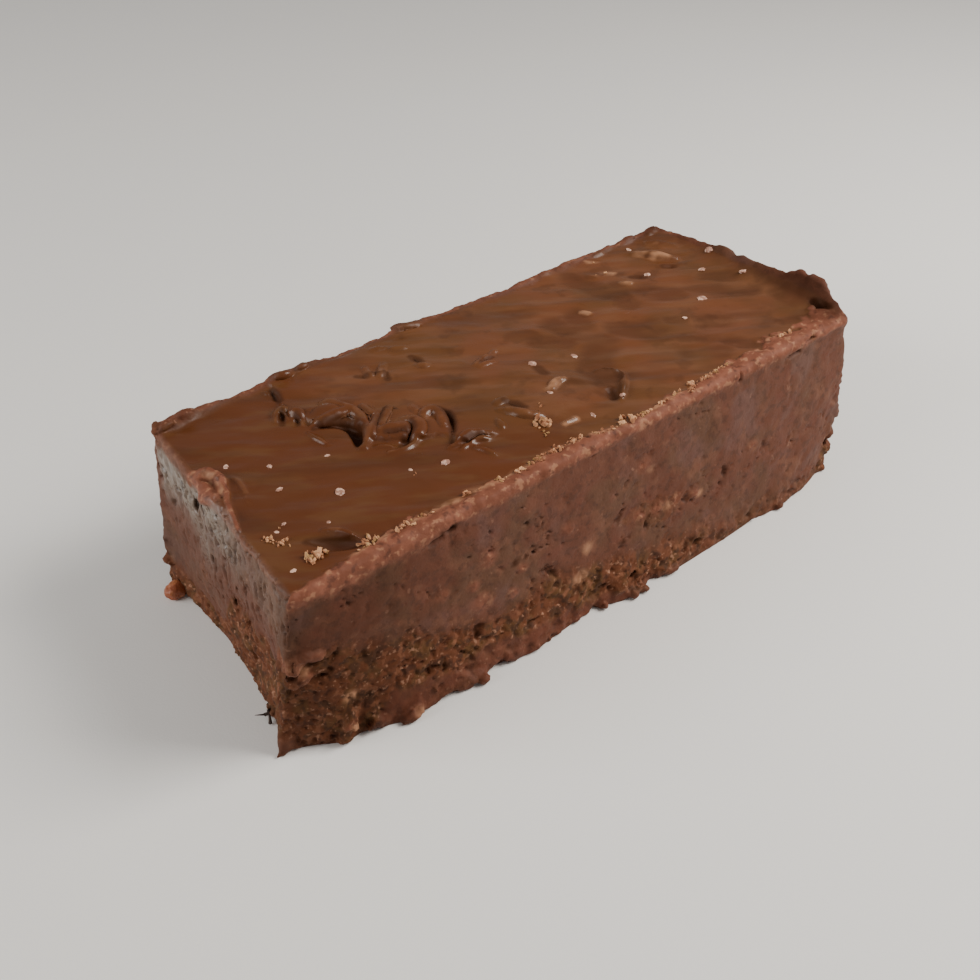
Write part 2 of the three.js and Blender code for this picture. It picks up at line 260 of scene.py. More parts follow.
def paint_group(piece, name, values, levels=20):
    """Stores a share from 0 to 1 for each point as a vertex group, in this many levels."""
    group = piece.vertex_groups.get(name) or piece.vertex_groups.new(name=name)
    marks = np.round(np.clip(values, 0, 1) * levels).astype(int)
    for level in range(1, levels + 1):
        found = np.nonzero(marks == level)[0].tolist()
        if found:
            group.add(found, level / levels, "REPLACE")


def shift(piece, direction, distances, most):
    """Moves each point of a piece either way along an axis by its own distance, up to this many mm."""
    for way in (1, -1):
        shares = way * np.asarray(distances) / most
        if shares.max() < 0.01:
            continue
        paint_group(piece, "shift", shares, levels=100)
        strength = way * most * MM
        finish_modifier(
            piece, "DISPLACE", direction=direction, strength=strength, mid_level=0, vertex_group="shift"
        )
        piece.vertex_groups.remove(piece.vertex_groups["shift"])


def cut_block():
    """The slab as the knife left it, bent from an even block by a cage of points, with its rims raised."""
    middle, size = (0, 0, HEIGHT / 2 * MM), (LENGTH * MM, WIDTH * MM, HEIGHT * MM)
    block = new_piece(bpy.ops.mesh.primitive_cube_add, size=1, location=middle)
    block.name = "fudge_body"
    block.scale = size
    bpy.ops.object.transform_apply(location=True, rotation=False, scale=True)
    recast(block, BLOCK_CAST)

    cage = new_piece(bpy.ops.object.add, type="LATTICE", location=middle)
    cage.scale = size
    cage.data.points_u, cage.data.points_v, cage.data.points_w = CAGE_POINTS
    for axis in "uvw":
        setattr(cage.data, "interpolation_type_" + axis, "KEY_CATMULL_ROM")
    for point in cage.data.points:
        u, w, v = (c + 0.5 for c in point.co)
        x, y, z = place(u, w, v)
        point.co_deform = (x / LENGTH, y / WIDTH, z / HEIGHT - 0.5)
    finish_modifier(block, "LATTICE", object=cage)
    bpy.data.objects.remove(cage)
    finish_modifier(block, "DISPLACE", strength=WEAR * MM, mid_level=0)
    raise_rims(block)
    return block


def raise_rims(block):
    """Raises the rims of the top, leans the torn one outwards, and moves the foot to where it stands."""
    points = points_of(block)
    front, back, left, right, drop = insets(points)
    x, y, z = points.T
    ragged = 1 + 0.3 * wander(points, 3.5, 5) + 0.15 * wander(points, 1.4, 6)
    torn = along(y, BURR) * ragged * np.exp(-np.maximum(right, 0) / 2.2)
    rim = FRONT_RIM * fade(front, 0.6, 3) * step(left, 1, 6)
    rim = rim + along(x, BACK_RIM) * fade(back, 0.4, 2.6) * ragged
    rim = rim + LEFT_RIM * fade(left, 0.3, 2)
    depth = np.clip(1 - drop / RIM_DEPTH, 0, 1)

    low = fade(z, 0.5, 9)
    front_line = place(x / LENGTH + 0.5, 0, 0)[1]
    left_line = place(0, np.clip(y / WIDTH + 0.5, 0, 1), 0)[0]
    front_shift = (along(x, FRONT_FOOT) - front_line) * fade(front, 0, 9) * low
    left_shift = (along(y, LEFT_FOOT) - left_line) * fade(left, 0, 9) * low
    right_shift = blend(-0.8, 0.8, step(z, 2, 20)) * fade(right, 0, 9)
    shift(block, "Y", front_shift, 3)
    shift(block, "Z", (rim + torn) * depth, 7)
    shift(block, "X", left_shift + right_shift + BURR_LEAN * torn * depth, 3)


# ---------------------------------------------------------------- where things lie on it

block = cut_block()
bpy.context.view_layer.update()
SKIN = BVHTree.FromObject(block, bpy.context.evaluated_depsgraph_get())


def hit(start, towards, skin=None):
    """The first point, in mm, that a ray meets on the uncarved block, or on another skin that is given."""
    skin = SKIN if skin is None else skin
    return skin.ray_cast(Vector(start) * MM, Vector(towards))[0] / MM


def on_top(x, y, skin=None):
    return hit((x, y, CLEAR), (0, 0, -1), skin)


def on_front(x, z):
    return hit((x, -CLEAR, z), (0, 1, 0))


def on_back(x, z):
    return hit((x, CLEAR, z), (0, -1, 0))


def on_left(y, z):
    return hit((-CLEAR, y, z), (1, 0, 0))


def on_right(y, z):
    return hit((CLEAR, y, z), (-1, 0, 0))


def given(x, y, z):
    """A place that doesn't lie on a side, given by itself."""
    return Vector((x, y, z))


def placed(groups):
    """The place and size of each row of a table, whose rows are grouped by the side that they lie on."""
    return [(side(*row[:-3]), row[-3:]) for side, rows in groups for row in rows]


# ---------------------------------------------------------------- forms that are joined or cut

def rope(points, lift=0.0):
    """A round rope of fudge through the points of the top, which give x, y, lift and radius in mm."""
    curve = bpy.data.curves.new("rope", "CURVE")
    curve.dimensions = "3D"
    curve.bevel_depth = MM
    curve.bevel_resolution = 3
    curve.resolution_u = 5
    curve.use_fill_caps = True
    spline = curve.splines.new("NURBS")
    spline.points.add(len(points) - 1)
    spline.use_endpoint_u = True
    spline.order_u = min(3, len(points))
    for point, (x, y, rise, radius) in zip(spline.points, points):
        point.co = (*((on_top(x, y) + Vector((0, 0, rise + lift))) * MM), 1)
        point.radius = radius
    piece = bpy.data.objects.new("rope", curve)
    bpy.context.collection.objects.link(piece)
    only(piece)
    bpy.ops.object.convert(target="MESH")
    return bpy.context.object


def rough_ball(subdivisions, grain, strength):
    """A rough ball of fudge, 1 mm across, that lumps, crumbs and grains are copied from. Its roughness
    has lumps of this grain and is this strong, both in mm."""
    ball = new_piece(bpy.ops.mesh.primitive_ico_sphere_add, subdivisions=subdivisions, radius=0.5 * MM)
    texture = grain_texture(grain)
    strength = strength * MM
    return finish_modifier(
        ball, "DISPLACE", texture=texture, texture_coords="LOCAL", strength=strength, mid_level=0.5
    )


def pulled_point(at, length, wide, narrow, sides, turn, tilt):
    """A tapering point of fudge, set down by its middle: its length and its wide and narrow radius in mm,
    and its turn about the vertical and tilt from it in degrees."""
    point = new_piece(
        bpy.ops.mesh.primitive_cone_add,
        vertices=sides,
        radius1=wide * MM,
        radius2=narrow * MM,
        depth=length * MM,
    )
    spin = Matrix.Rotation(math.radians(turn), 4, "Z") @ Matrix.Rotation(math.radians(tilt), 4, "Y")
    point.data.transform(Matrix.Translation(Vector(at) * MM) @ spin)
    return point


def copy_of(shape, at, size, turn=(0, 0, 0)):
    """A copy of a shape with its own mesh, sized in mm, turned in degrees and set down at a point in mm."""
    piece = shape.copy()
    piece.data = shape.data.copy()
    bpy.context.collection.objects.link(piece)
    spin = Matrix.Identity(4)
    for axis, degrees in zip("XYZ", turn):
        spin = Matrix.Rotation(math.radians(degrees), 4, axis) @ spin
    stretch = Matrix.Diagonal((*size, 1))
    piece.data.transform(Matrix.Translation(Vector(at) * MM) @ spin @ stretch)
    return piece


def join(pieces):
    """Joins pieces into the first one."""
    bpy.ops.object.select_all(action="DESELECT")
    for piece in pieces:
        piece.select_set(True)
    bpy.context.view_layer.objects.active = pieces[0]
    bpy.ops.object.join()
    return pieces[0]


# Ridges where the spreading knife pulled the setting top up: x, y, lift and radius of each one's points.
RIDGES = [
    [(-38.6, 12.2, 0, 0.3), (-37.6, 13.8, 0.31, 0.45), (-36.4, 15.6, 0.31, 0.45), (-36.3, 14, 0.31, 0.45),
     (-36.8, 11.4, 0, 0.3)],
    [(-36.4, 10.6, 0, 0.3), (-35.4, 12, 0.31, 0.41), (-34.8, 12.4, 0.31, 0.45), (-35, 10.8, 0.25, 0.41),
     (-35.6, 8.6, 0, 0.3)],
    [(-35.9, 21.4, 0, 0.3), (-35.4, 20.2, 0.31, 0.45), (-35.2, 19, 0, 0.3)],
    [(-30.4, 11.6, 0, 0.3), (-29.4, 11, 0.37, 0.5), (-28.8, 9.6, 0.37, 0.5), (-27.9, 8.2, 0.25, 0.5),
     (-27.3, 6.2, 0.37, 0.59), (-27.3, 4, 0.31, 0.55), (-28.2, 1.6, 0.25, 0.5), (-29.2, -0.6, 0.25, 0.5),
     (-30.2, -1.8, 0.19, 0.41), (-31.8, -2.6, 0, 0.3)],
    [(-34.8, 7.6, 0, 0.3), (-33.2, 7.4, 0.31, 0.45), (-31.2, 7.3, 0.5, 0.5), (-29.4, 7.2, 0.5, 0.5),
     (-28, 7, 0.31, 0.5)],
    [(-36, 6.6, 0, 0.3), (-35.6, 4.2, 0.25, 0.45), (-35, 1.8, 0, 0.3)],
    [(-25.5, 7, 0, 0.24), (-25.2, 5.4, 0.25, 0.41), (-25.3, 4.2, 0, 0.24)],
    [(-24.9, 3.2, 0, 0.3), (-26.6, 1.4, 0.25, 0.45), (-28.4, -0.2, 0.25, 0.45), (-31.2, -3, 0, 0.3)],
    [(-22.2, 4, 0, 0.3), (-23.6, 2.8, 0.25, 0.41), (-26, 0.8, 0.25, 0.45), (-27.2, -0.8, 0, 0.3)],
    [(-27.2, -1, 0, 0.3), (-26, -0.9, 0.31, 0.5), (-24.6, -1.3, 0.31, 0.45), (-23.8, -2.4, 0.06, 0.35)],
    [(-22.2, -0.2, 0, 0.3), (-21.2, -1.4, 0.31, 0.5), (-20.9, -3.2, 0.37, 0.55), (-21.8, -4.8, 0.25, 0.5),
     (-23.6, -6.2, 0.19, 0.45), (-26.2, -7.2, 0.12, 0.41), (-28.8, -6, 0, 0.3)],
    [(-29.4, -3.6, 0, 0.3), (-28.2, -4, 0.19, 0.41), (-27.4, -5.2, 0, 0.3)],
    [(-19.4, 1.8, 0, 0.24), (-19.1, 0.6, 0.25, 0.41), (-19.4, -0.8, 0, 0.24)],
    [(-19.8, -2.4, 0, 0.3), (-18.8, -1.3, 0.31, 0.5), (-17.4, -0.7, 0.43, 0.59), (-16.6, -1.7, 0.37, 0.55),
     (-16.9, -3.6, 0.19, 0.45), (-18.2, -6.2, 0, 0.35)],
    [(-20.8, -10.8, 0, 0.3), (-18.8, -11.2, 0.37, 0.59), (-16.9, -10.5, 0.43, 0.55), (-15, -10.8, 0.31, 0.45),
     (-12.6, -12.4, 0, 0.3)],
    [(-19.6, -12.6, 0, 0.3), (-17.8, -12, 0.25, 0.45), (-16, -12, 0.19, 0.41), (-14.4, -12.8, 0, 0.3)],
    [(-17.5, -12.8, 0, 0.3), (-17.1, -14.4, 0.31, 0.5), (-16.2, -15.8, 0.19, 0.45), (-15.8, -17, 0, 0.24)],
    [(-8.2, -6.4, 0, 0.24), (-7, -6.2, 0.25, 0.41), (-5.8, -6.2, 0, 0.24)],
    [(-8.8, -8, 0, 0.3), (-7.4, -9.4, 0.31, 0.45), (-6.6, -11, 0.37, 0.5), (-5.6, -12.4, 0.31, 0.5),
     (-3.8, -13.2, 0, 0.35)],
    [(-3.8, 5.1, 0, 0.24), (-1.8, 6, 0.19, 0.35), (0.4, 6.7, 0.19, 0.35), (2.4, 7.4, 0, 0.24)],
    [(-3.4, 4.4, 0, 0.24), (-1.2, 5, 0.19, 0.35), (0.2, 4.2, 0, 0.24)],
    [(-11.6, 11.4, 0, 0.24), (-11, 10.6, 0.25, 0.45), (-10, 10.2, 0, 0.24)],
    [(-19.2, 16.4, 0, 0.3), (-19, 14.9, 0.31, 0.5), (-19.4, 13.4, 0, 0.3)],
    [(-18.6, 12.4, 0, 0.3), (-17.4, 13.7, 0.31, 0.5), (-15.8, 15.2, 0, 0.3)],
    [(-10.3, -10, 0, 0.24), (-10.7, -11.2, 0.25, 0.41), (-11, -12.2, 0, 0.24)],
    [(-51, 4.4, -0.5, 0.5), (-50.5, 2.4, -0.35, 0.6), (-50.9, -0.6, -0.35, 0.6), (-51.8, -3.8, -0.6, 0.5)],
    [(-46.6, -15.8, 0, 0.35), (-44.9, -17.2, 0.31, 0.59), (-43.9, -19, 0.37, 0.59), (-43.4, -21, 0.06, 0.41)],
    [(-12.4, 18.3, 0, 0.3), (-11, 17.9, 0.19, 0.45), (-9.6, 17.5, 0, 0.3)],
    [(-15.2, 20.4, 0, 0.24), (-14, 20, 0.19, 0.41), (-12.8, 19.7, 0, 0.24)],
    [(12.2, -7.8, 0, 0.3), (13.8, -8.7, 0.31, 0.5), (15.2, -10.2, 0.12, 0.41), (14.8, -12.6, 0.19, 0.5),
     (12.6, -14.4, 0.25, 0.7), (10.8, -16.4, 0.25, 0.59), (9.6, -17.4, 0, 0.3)],
    [(1.6, -9, 0, 0.3), (3, -7.6, 0.25, 0.55), (4.4, -7, 0.25, 0.55), (6, -7, 0, 0.3)],
    [(-2.4, -16.7, 0, 0.3), (-0.9, -16.9, 0.25, 0.55), (0.6, -16.9, 0, 0.3)],
    [(23.2, 9.6, -0.3, 0.5), (23.8, 8.2, 0.1, 0.65), (24.2, 7, -0.3, 0.5)],
    [(45.8, 20, -0.5, 0.7), (47.6, 17.4, 0.06, 1), (49.6, 14.6, 0.06, 1), (51.6, 12.6, -0.3, 0.8)],
    [(51, 21.6, -0.6, 1), (53.6, 19.2, -0.2, 1.2), (55, 16.8, -0.8, 1)],
    [(36, 12.6, -0.2, 0.41), (36.9, 11.8, 0.12, 0.5), (37.6, 10.8, -0.2, 0.41)],
]

# The rolled curl of skin on the left end's edge, given in the same way.
CURL = [
    [(-55.9, 8.4, 0, 0.35), (-54.6, 7.7, 0.15, 0.45), (-53.3, 6.7, 0.3, 0.6), (-52.6, 5.2, 0.3, 0.5),
     (-52.6, 3.6, 0.25, 0.65), (-53.1, 2, 0.15, 0.45), (-53.5, 0.4, 0.1, 0.5), (-54.4, -1.4, 0, 0.35)],
    [(-54.2, -0.8, 0, 0.3), (-54.9, -3.2, 0.1, 0.4), (-55.5, -5.8, 0.05, 0.3), (-56.2, -8.6, -0.1, 0.3)],
]

# Slots and burst bubbles, which are cut away, given in the same way.
SLOTS = [
    [(-54.9, 6, 0.3, 0.4), (-54.1, 4.8, 0.1, 0.6), (-54.3, 3.2, 0.1, 0.6), (-54.8, 1.6, 0.3, 0.4)],
    [(-38, 11.2, 0.6, 0.6), (-37.3, 12.6, 0.1, 0.8), (-36.6, 13.6, 0.4, 0.5)],
    [(-36, 9.4, 0.5, 0.5), (-35.4, 10.8, 0.2, 0.6)],
    [(-34.8, 20.6, 0.6, 0.7), (-34.9, 18.8, 0.1, 0.9), (-35, 16.9, 0.5, 0.6)],
    [(-34.8, 6.8, 0.5, 0.4), (-32.4, 6.4, 0, 0.7), (-30.6, 5.6, -0.5, 1.1), (-29.5, 4, -0.8, 1.4),
     (-29.4, 2.2, -0.7, 1.4), (-30.2, 0.4, -0.4, 1.2), (-31.4, -1.4, 0.4, 0.7)],
    [(-22.9, 3.9, 0.5, 0.4), (-24.6, 2.4, 0.1, 0.5), (-27, 0.3, 0.4, 0.4)],
    [(-26.6, -2.2, 0.5, 0.6), (-25.4, -3, 0.1, 0.8), (-24, -3.4, 0.4, 0.6)],
    [(-26.2, -5.6, 0.5, 0.5), (-24.6, -5, -0.1, 0.8), (-22.8, -3.9, -0.2, 0.9), (-21.8, -2.4, 0.4, 0.6)],
    [(-21.4, 14.9, 0.5, 0.7), (-20.2, 13.9, 0.2, 0.8)],
    [(-18.9, 13.8, 0.4, 0.5), (-18.2, 13.2, 0.3, 0.5)],
    [(-17, 12.8, 0.5, 0.6), (-17.7, 11, 0.3, 0.7)],
    [(-10.7, 14.4, 0.5, 0.7), (-10.5, 13, 0, 1.1), (-10.4, 11.6, 0.5, 0.7)],
    [(-15.9, -1.2, 0.5, 0.5), (-15.6, -3.4, -0.1, 0.9), (-16.4, -5.8, -0.2, 0.9), (-17.8, -8, 0.1, 0.7),
     (-19.4, -9.8, 0.5, 0.4)],
    [(-18.2, -11.6, 0.5, 0.4), (-16.6, -11.4, 0.3, 0.5), (-14.8, -11.8, 0.5, 0.4)],
    [(-6.4, -6.6, 0.6, 0.7), (-5.5, -8.2, 0.1, 1.1), (-4.9, -10, 0.5, 0.8)],
    [(-2.6, 5.2, 0.4, 0.3), (-0.8, 5.6, 0.2, 0.4), (0.8, 6, 0.4, 0.3)],
    [(-49.4, -16.4, 0.8, 0.8), (-47.6, -17.8, 0, 1.2), (-46, -19.6, -0.2, 1.5), (-44.2, -21, 0.3, 1.1),
     (-42.8, -21.4, 0.8, 0.7)],
    [(10.6, -13.6, 0.5, 0.9), (9.6, -15, 0.1, 1.3), (9.2, -16.2, 0.5, 0.9)],
    [(39.8, 12.8, 0.9, 1.1), (41.2, 11.6, 0.7, 1.1)],
    [(47.4, 12.2, 0.7, 0.9), (48.8, 11, 0.5, 0.9)],
    [(4.6, -1.8, 1, 1.1), (4.4, -3.6, 1, 1.1)],
]

# Soft dents in the top: x, y and radius in mm of each one's points.
DENTS = [
    [(49.5, -16.4, 1.3), (54.2, -18.2, 1.6)],
    [(55.4, -13.6, 1.6), (55.8, -9, 1.4)],
    [(36.6, -15.6, 1.1), (38.8, -18.6, 1.2)],
    [(50.6, 4.6, 1.2), (54, 1, 1.3)],
    [(33.6, -3.8, 1), (35.4, -5.2, 1)],
    [(19.6, -1.8, 2), (15.4, -4.6, 2.1), (12.6, -7.4, 2.2), (12.6, -11.2, 2.1), (10.6, -14, 1.9)],
    [(16.2, 8.4, 1.9), (17.1, 5.6, 2), (18.1, 3, 2), (19.2, 1.2, 1.8)],
    [(21.8, 8.8, 1.7), (20.6, 6.2, 1.8), (19.4, 3.2, 1.8)],
    [(24.9, 0.6, 2), (26.8, -1.9, 2.1), (28.8, -4.2, 2)],
    [(37.4, 6.8, 1.9), (39.4, 4.8, 2), (41.4, 3, 1.9)],
    [(30, 20, 1.7), (30.8, 15.6, 1.8), (31.8, 11.2, 1.8)],
    [(35.2, 12.4, 1.3), (33.6, 10, 1.4), (32.3, 6, 1.7)],
    [(45.6, 2.6, 1.7), (49.5, -0.8, 1.8), (53, -5, 1.7)],
    [(38.4, -7.6, 1.6), (40.8, -9.4, 1.6)],
    [(29.2, -13.9, 1.8), (31, -15.6, 1.9), (33, -17.2, 1.8)],
    [(10.2, 5.4, 1.5), (12.4, 4, 1.6), (14.4, 2.4, 1.5)],
]

# Broken lumps at the edges and on the cut sides: the place on its side, and the size along x, y and z,
# in mm.
CRAGS = [
    (on_top, [
        (-53.6, 21.8, 4.4, 2.6, 1.6), (-49.8, 22.4, 3.4, 1.6, 1.2), (-31.6, 22.8, 4.2, 1.8, 1.2),
        (-28, 23, 3.2, 1.6, 1.2), (-5.4, 23.4, 6, 1.8, 1.2), (42, 24.2, 6, 1.4, 0.7), (49, 24.6, 4, 1.4, 0.8),
        (55.6, 24.2, 1.6, 1.6, 1.8), (54, 24, 2.4, 2, 1),
    ]),
    (on_front, [
        (-57.8, 18.2, 2.4, 1.9, 3.6), (-56.2, 19.4, 2.8, 2.4, 1.8), (-54.4, 18.8, 3, 1.8, 1.6),
        (-56.6, 15.6, 2.2, 1.6, 2.2), (-51, 3.4, 3, 2.8, 4.2), (-52.6, 1.4, 2.6, 2.2, 2.6),
        (-47.2, 1.6, 3.4, 1.8, 2.4), (-41, 1, 5.6, 1.8, 2.2), (-28.2, 0.9, 2.2, 3.4, 1.8),
        (-30.4, 1.1, 3.6, 2, 1.8), (-1.9, 0.7, 1.6, 2.6, 1.4), (6.4, 0.8, 2.4, 3.6, 1.5),
        (4.2, 1, 3.6, 2, 1.6), (14, 0.8, 3.4, 1.8, 1.6), (42.4, 0.8, 3, 1.6, 1.4),
    ]),
    (on_right, [(-23.6, 12.4, 1.8, 2, 3.4), (-23.8, 4.6, 2, 2.4, 2.6)]),
    (on_left, [
        (3.4, 30.4, 1.2, 3.6, 1.6), (-1.5, 29.6, 1.2, 2.6, 2.2), (-5, 27.8, 1, 1.8, 2.4),
        (-13.6, 0.8, 1.4, 1.4, 0.9), (-16, 1.2, 1.6, 1.6, 1.4), (22.8, 9.6, 1, 1.4, 2.2),
        (22.8, 5.4, 1.4, 1.8, 1.4),
    ]),
]

# Bites where fudge broke away, given in the same way.
BITES = [
    (on_front, [
        (-55.2, 17.4, 3.6, 2, 1), (-58.2, 15.4, 1.4, 1.8, 2.2), (-54.8, 14.2, 4.6, 1.8, 1.6),
        (-52.2, 17.4, 2.4, 2, 1.3), (-34.4, 0.4, 4.2, 2.2, 1.6), (-24.2, 0.3, 4.6, 2, 1.4),
        (-3.8, 0.3, 2.4, 2.2, 1.6), (9.6, 0.3, 2.6, 1.6, 1.4), (36, 0.2, 5, 1, 1),
        (-37.4, 6.4, 5.6, 2.2, 1.1), (-30.2, 4.6, 3.4, 2.2, 1.1), (-27.2, 9.6, 2.6, 2, 1.3),
        (-17.2, 5.4, 4.2, 2, 1), (-33.2, 29, 3.6, 2.2, 1.2), (-30.4, 29.8, 2.6, 2, 1),
        (20.4, 3.2, 2.8, 2, 1), (17.2, 3.2, 1.6, 1.6, 1.2), (4.6, 4.2, 2.6, 2.2, 1.1),
        (44.8, 31, 3.8, 2.8, 1.4), (48.6, 32.4, 3.6, 2.6, 1.3), (30.6, 31.6, 1, 2.4, 2.6),
    ]),
    (on_top, [
        (39.4, -21.4, 2.6, 0.9, 1), (24.6, -22.2, 1.8, 0.8, 0.9), (11.6, -23.2, 1.4, 0.8, 0.8),
        (-14.2, -23, 2.2, 0.8, 0.9),
    ]),
    (on_front, [(-43.6, 30.2, 1.8, 1.2, 0.8), (-2.6, 30.6, 1.6, 1.2, 0.8)]),
    (on_right, [(-24.2, 6.8, 3, 2, 1)]),
    (given, [(57.4, -18.2, 33.8, 2, 4.6, 2.2)]),
    (on_left, [
        (22.8, 29.6, 1.2, 1.6, 1.8), (4.8, 27.2, 1.8, 1.2, 2.4), (-2.8, 26.2, 1.6, 0.9, 3.2),
        (-6.2, 24.6, 1.4, 0.8, 2.8), (-11.4, 8.6, 1.2, 8, 8), (-19, 14.2, 1.6, 5, 1.4),
        (12.4, 28.2, 0.9, 7, 0.7), (-9.8, 18.4, 1.2, 1, 3),
    ]),
    (on_back, [(20, 0.4, 5, 1.8, 1.6), (-12, 0.4, 6, 1.6, 1.4), (-38, 6, 3, 1.6, 2)]),
    (on_right, [(6, 0.4, 1.8, 5, 1.6), (14, 9, 1.6, 2.4, 3)]),
]

# The larger air holes: along, up, and the hole's width in mm.
FRONT_HOLES = [
    (-40.9, 25.2, 1.3), (-40.5, 21.6, 0.9), (-38.4, 18.9, 1), (-48.4, 22.1, 1.2), (-37.8, 15.7, 1.1),
    (-53.6, 27.9, 1.1), (-51.9, 28.7, 0.8), (-19.3, 16.3, 1.5), (-16.3, 18.1, 1.2), (-35.8, 22.5, 0.7),
    (-26.5, 27.5, 0.8), (-40.7, 13.3, 1.3), (-47.3, 9.2, 1.2), (-50.5, 8.1, 1.3), (-28.1, 8.4, 1.4),
    (-23.7, 8.8, 1.1), (-35.2, 11.8, 1), (-36.8, 7.7, 1.2), (-42, 8, 1.2), (22.6, 26.1, 0.8), (36, 21, 0.8),
    (31.5, 16.8, 1), (35.7, 13.7, 1.3), (44.5, 6.9, 1.4), (37.8, 18.7, 0.8), (26.2, 21.6, 0.9),
    (2.5, 10.5, 1.7), (6.6, 9.1, 1.2), (5, 4.2, 1.1), (8.6, 4.6, 1), (37.2, 4, 0.9), (40.7, 2.4, 0.9),
    (13.9, 28.6, 0.8), (-13.4, 25.2, 0.9), (12.1, 4.8, 0.9), (-0.1, 8, 1), (-10.8, 30.2, 0.9),
    (-16, 29, 1.1), (-45, 12.4, 1.1), (-31.8, 12.6, 1),
]
LEFT_HOLES = [
    (18.7, 19.8, 1.6), (7.6, 26.1, 2.2), (15.3, 16.1, 1.2), (3.6, 18, 1.7), (9, 18.3, 1.3), (-3, 25.6, 2),
    (-6.4, 19.2, 1.7), (-8.3, 22.5, 1.5), (-13.8, 20.8, 1.3), (-16.6, 17.1, 1.4), (12.2, 23.4, 1.2),
    (0.6, 12.4, 1.3), (-1, 21.4, 1.2), (-11.4, 17.2, 1.1), (5.6, 13.2, 1.2), (-4.2, 15, 1.3),
]

# How many air holes the hidden sides have, and how many lumps crumble out of the foot.
HIDDEN_HOLES = 60
FOOT_LUMPS = 36

# Thin plates of fudge that lie on the top: x, y and lift, the size in mm, and the turn in degrees.
PLATES = [
    (-31, 8.4, 0.1, (4.8, 3.2, 1.5), (14, 0, -12)),
    (-24.6, -2.6, 0, (5.6, 4.6, 1.2), (0, 0, 30)),
]

# The pointed corner that the knife pulled out at the foot of the front and left sides: its middle, its
# length, its wide and narrow radius, its number of sides, and its turn and tilt.
CORNER_TOOTH = ((-58.4, -21.6, 0.9), 8.6, 2.8, 0.25, 9, -158, 97)


def foot_lumps(lump, random_from):
    """Small lumps that crumble out of the foot, fewest at the left end."""
    pieces = []
    sides = [(on_front, LENGTH), (on_back, LENGTH), (on_right, WIDTH), (on_left, WIDTH / 3)]
    for _ in range(FOOT_LUMPS):
        side, span = random_from.choices(sides, weights=[s for _, s in sides])[0]
        shift_along = random_from.uniform(-0.46, 0.46) * span
        up = 0.4 + 3 * random_from.random() ** 2
        size = [random_from.uniform(0.6, 1.3) for _ in range(3)]
        turn = [random_from.uniform(0, 360) for _ in range(3)]
        pieces.append(copy_of(lump, side(shift_along, up), size, turn))
    return pieces


def air_holes(lump, random_from):
    """The holes of the cut faces: the known ones, and others on the two hidden sides."""
    holes = [(on_front(x, z), width) for x, z, width in FRONT_HOLES]
    for i in range(HIDDEN_HOLES):
        side, span = [(on_back, LENGTH), (on_back, LENGTH), (on_right, WIDTH)][i % 3]
        at = side(random_from.uniform(-0.45, 0.45) * span, random_from.uniform(3, HEIGHT - 4))
        holes.append((at, random_from.uniform(0.7, 1.5)))
    pieces = []
    for at, width in holes:
        size = [width * random_from.uniform(0.45, 1.15) for _ in range(3)]
        pieces.append(copy_of(lump, at, size, [random_from.uniform(0, 360) for _ in range(3)]))
    for y, z, width in LEFT_HOLES:
        size = [width * share * random_from.uniform(0.8, 1.2) for share in (1.1, 0.7, 1.3)]
        pieces.append(copy_of(lump, on_left(y, z), size, (random_from.uniform(-30, 30), 0, 0)))
    return pieces


def model_forms(body):
    """Joins the ridges, crags, plates and the pulled-out corner to the block, and cuts the slots, bites
    and holes out of it."""
    random_from = random.Random(BAR_SEED)
    lump = rough_ball(3, 0.45, 0.5)
    crags = placed(CRAGS)
    turns = [[random_from.uniform(-12, 12) for _ in "xyz"] for _ in crags]
    raised = [rope(points, RIDGE_LIFT) for points in RIDGES + CURL]
    raised += [copy_of(lump, at, size, turn) for (at, size), turn in zip(crags, turns)]
    raised += foot_lumps(lump, random_from)
    for x, y, lift, size, turn in PLATES:
        raised.append(copy_of(lump, on_top(x, y) + Vector((0, 0, lift)), size, turn))
    raised.append(pulled_point(*CORNER_TOOTH))
    join([body, *raised])
    recast(body, CAST)

    sunk = [rope(points) for points in SLOTS]
    sunk += [copy_of(lump, at, size) for at, size in placed(BITES)]
    sunk += air_holes(lump, random_from)
    cutter = join(sunk)
    recast(cutter, CAST)
    finish_modifier(body, "BOOLEAN", object=cutter, operation="DIFFERENCE", solver="MANIFOLD")
    bpy.data.objects.remove(cutter)
    bpy.data.objects.remove(lump)
    recast(body, CAST)
    finish_modifier(body, "SMOOTH", factor=0.5, iterations=3)


# ---------------------------------------------------------------- zones of the surface

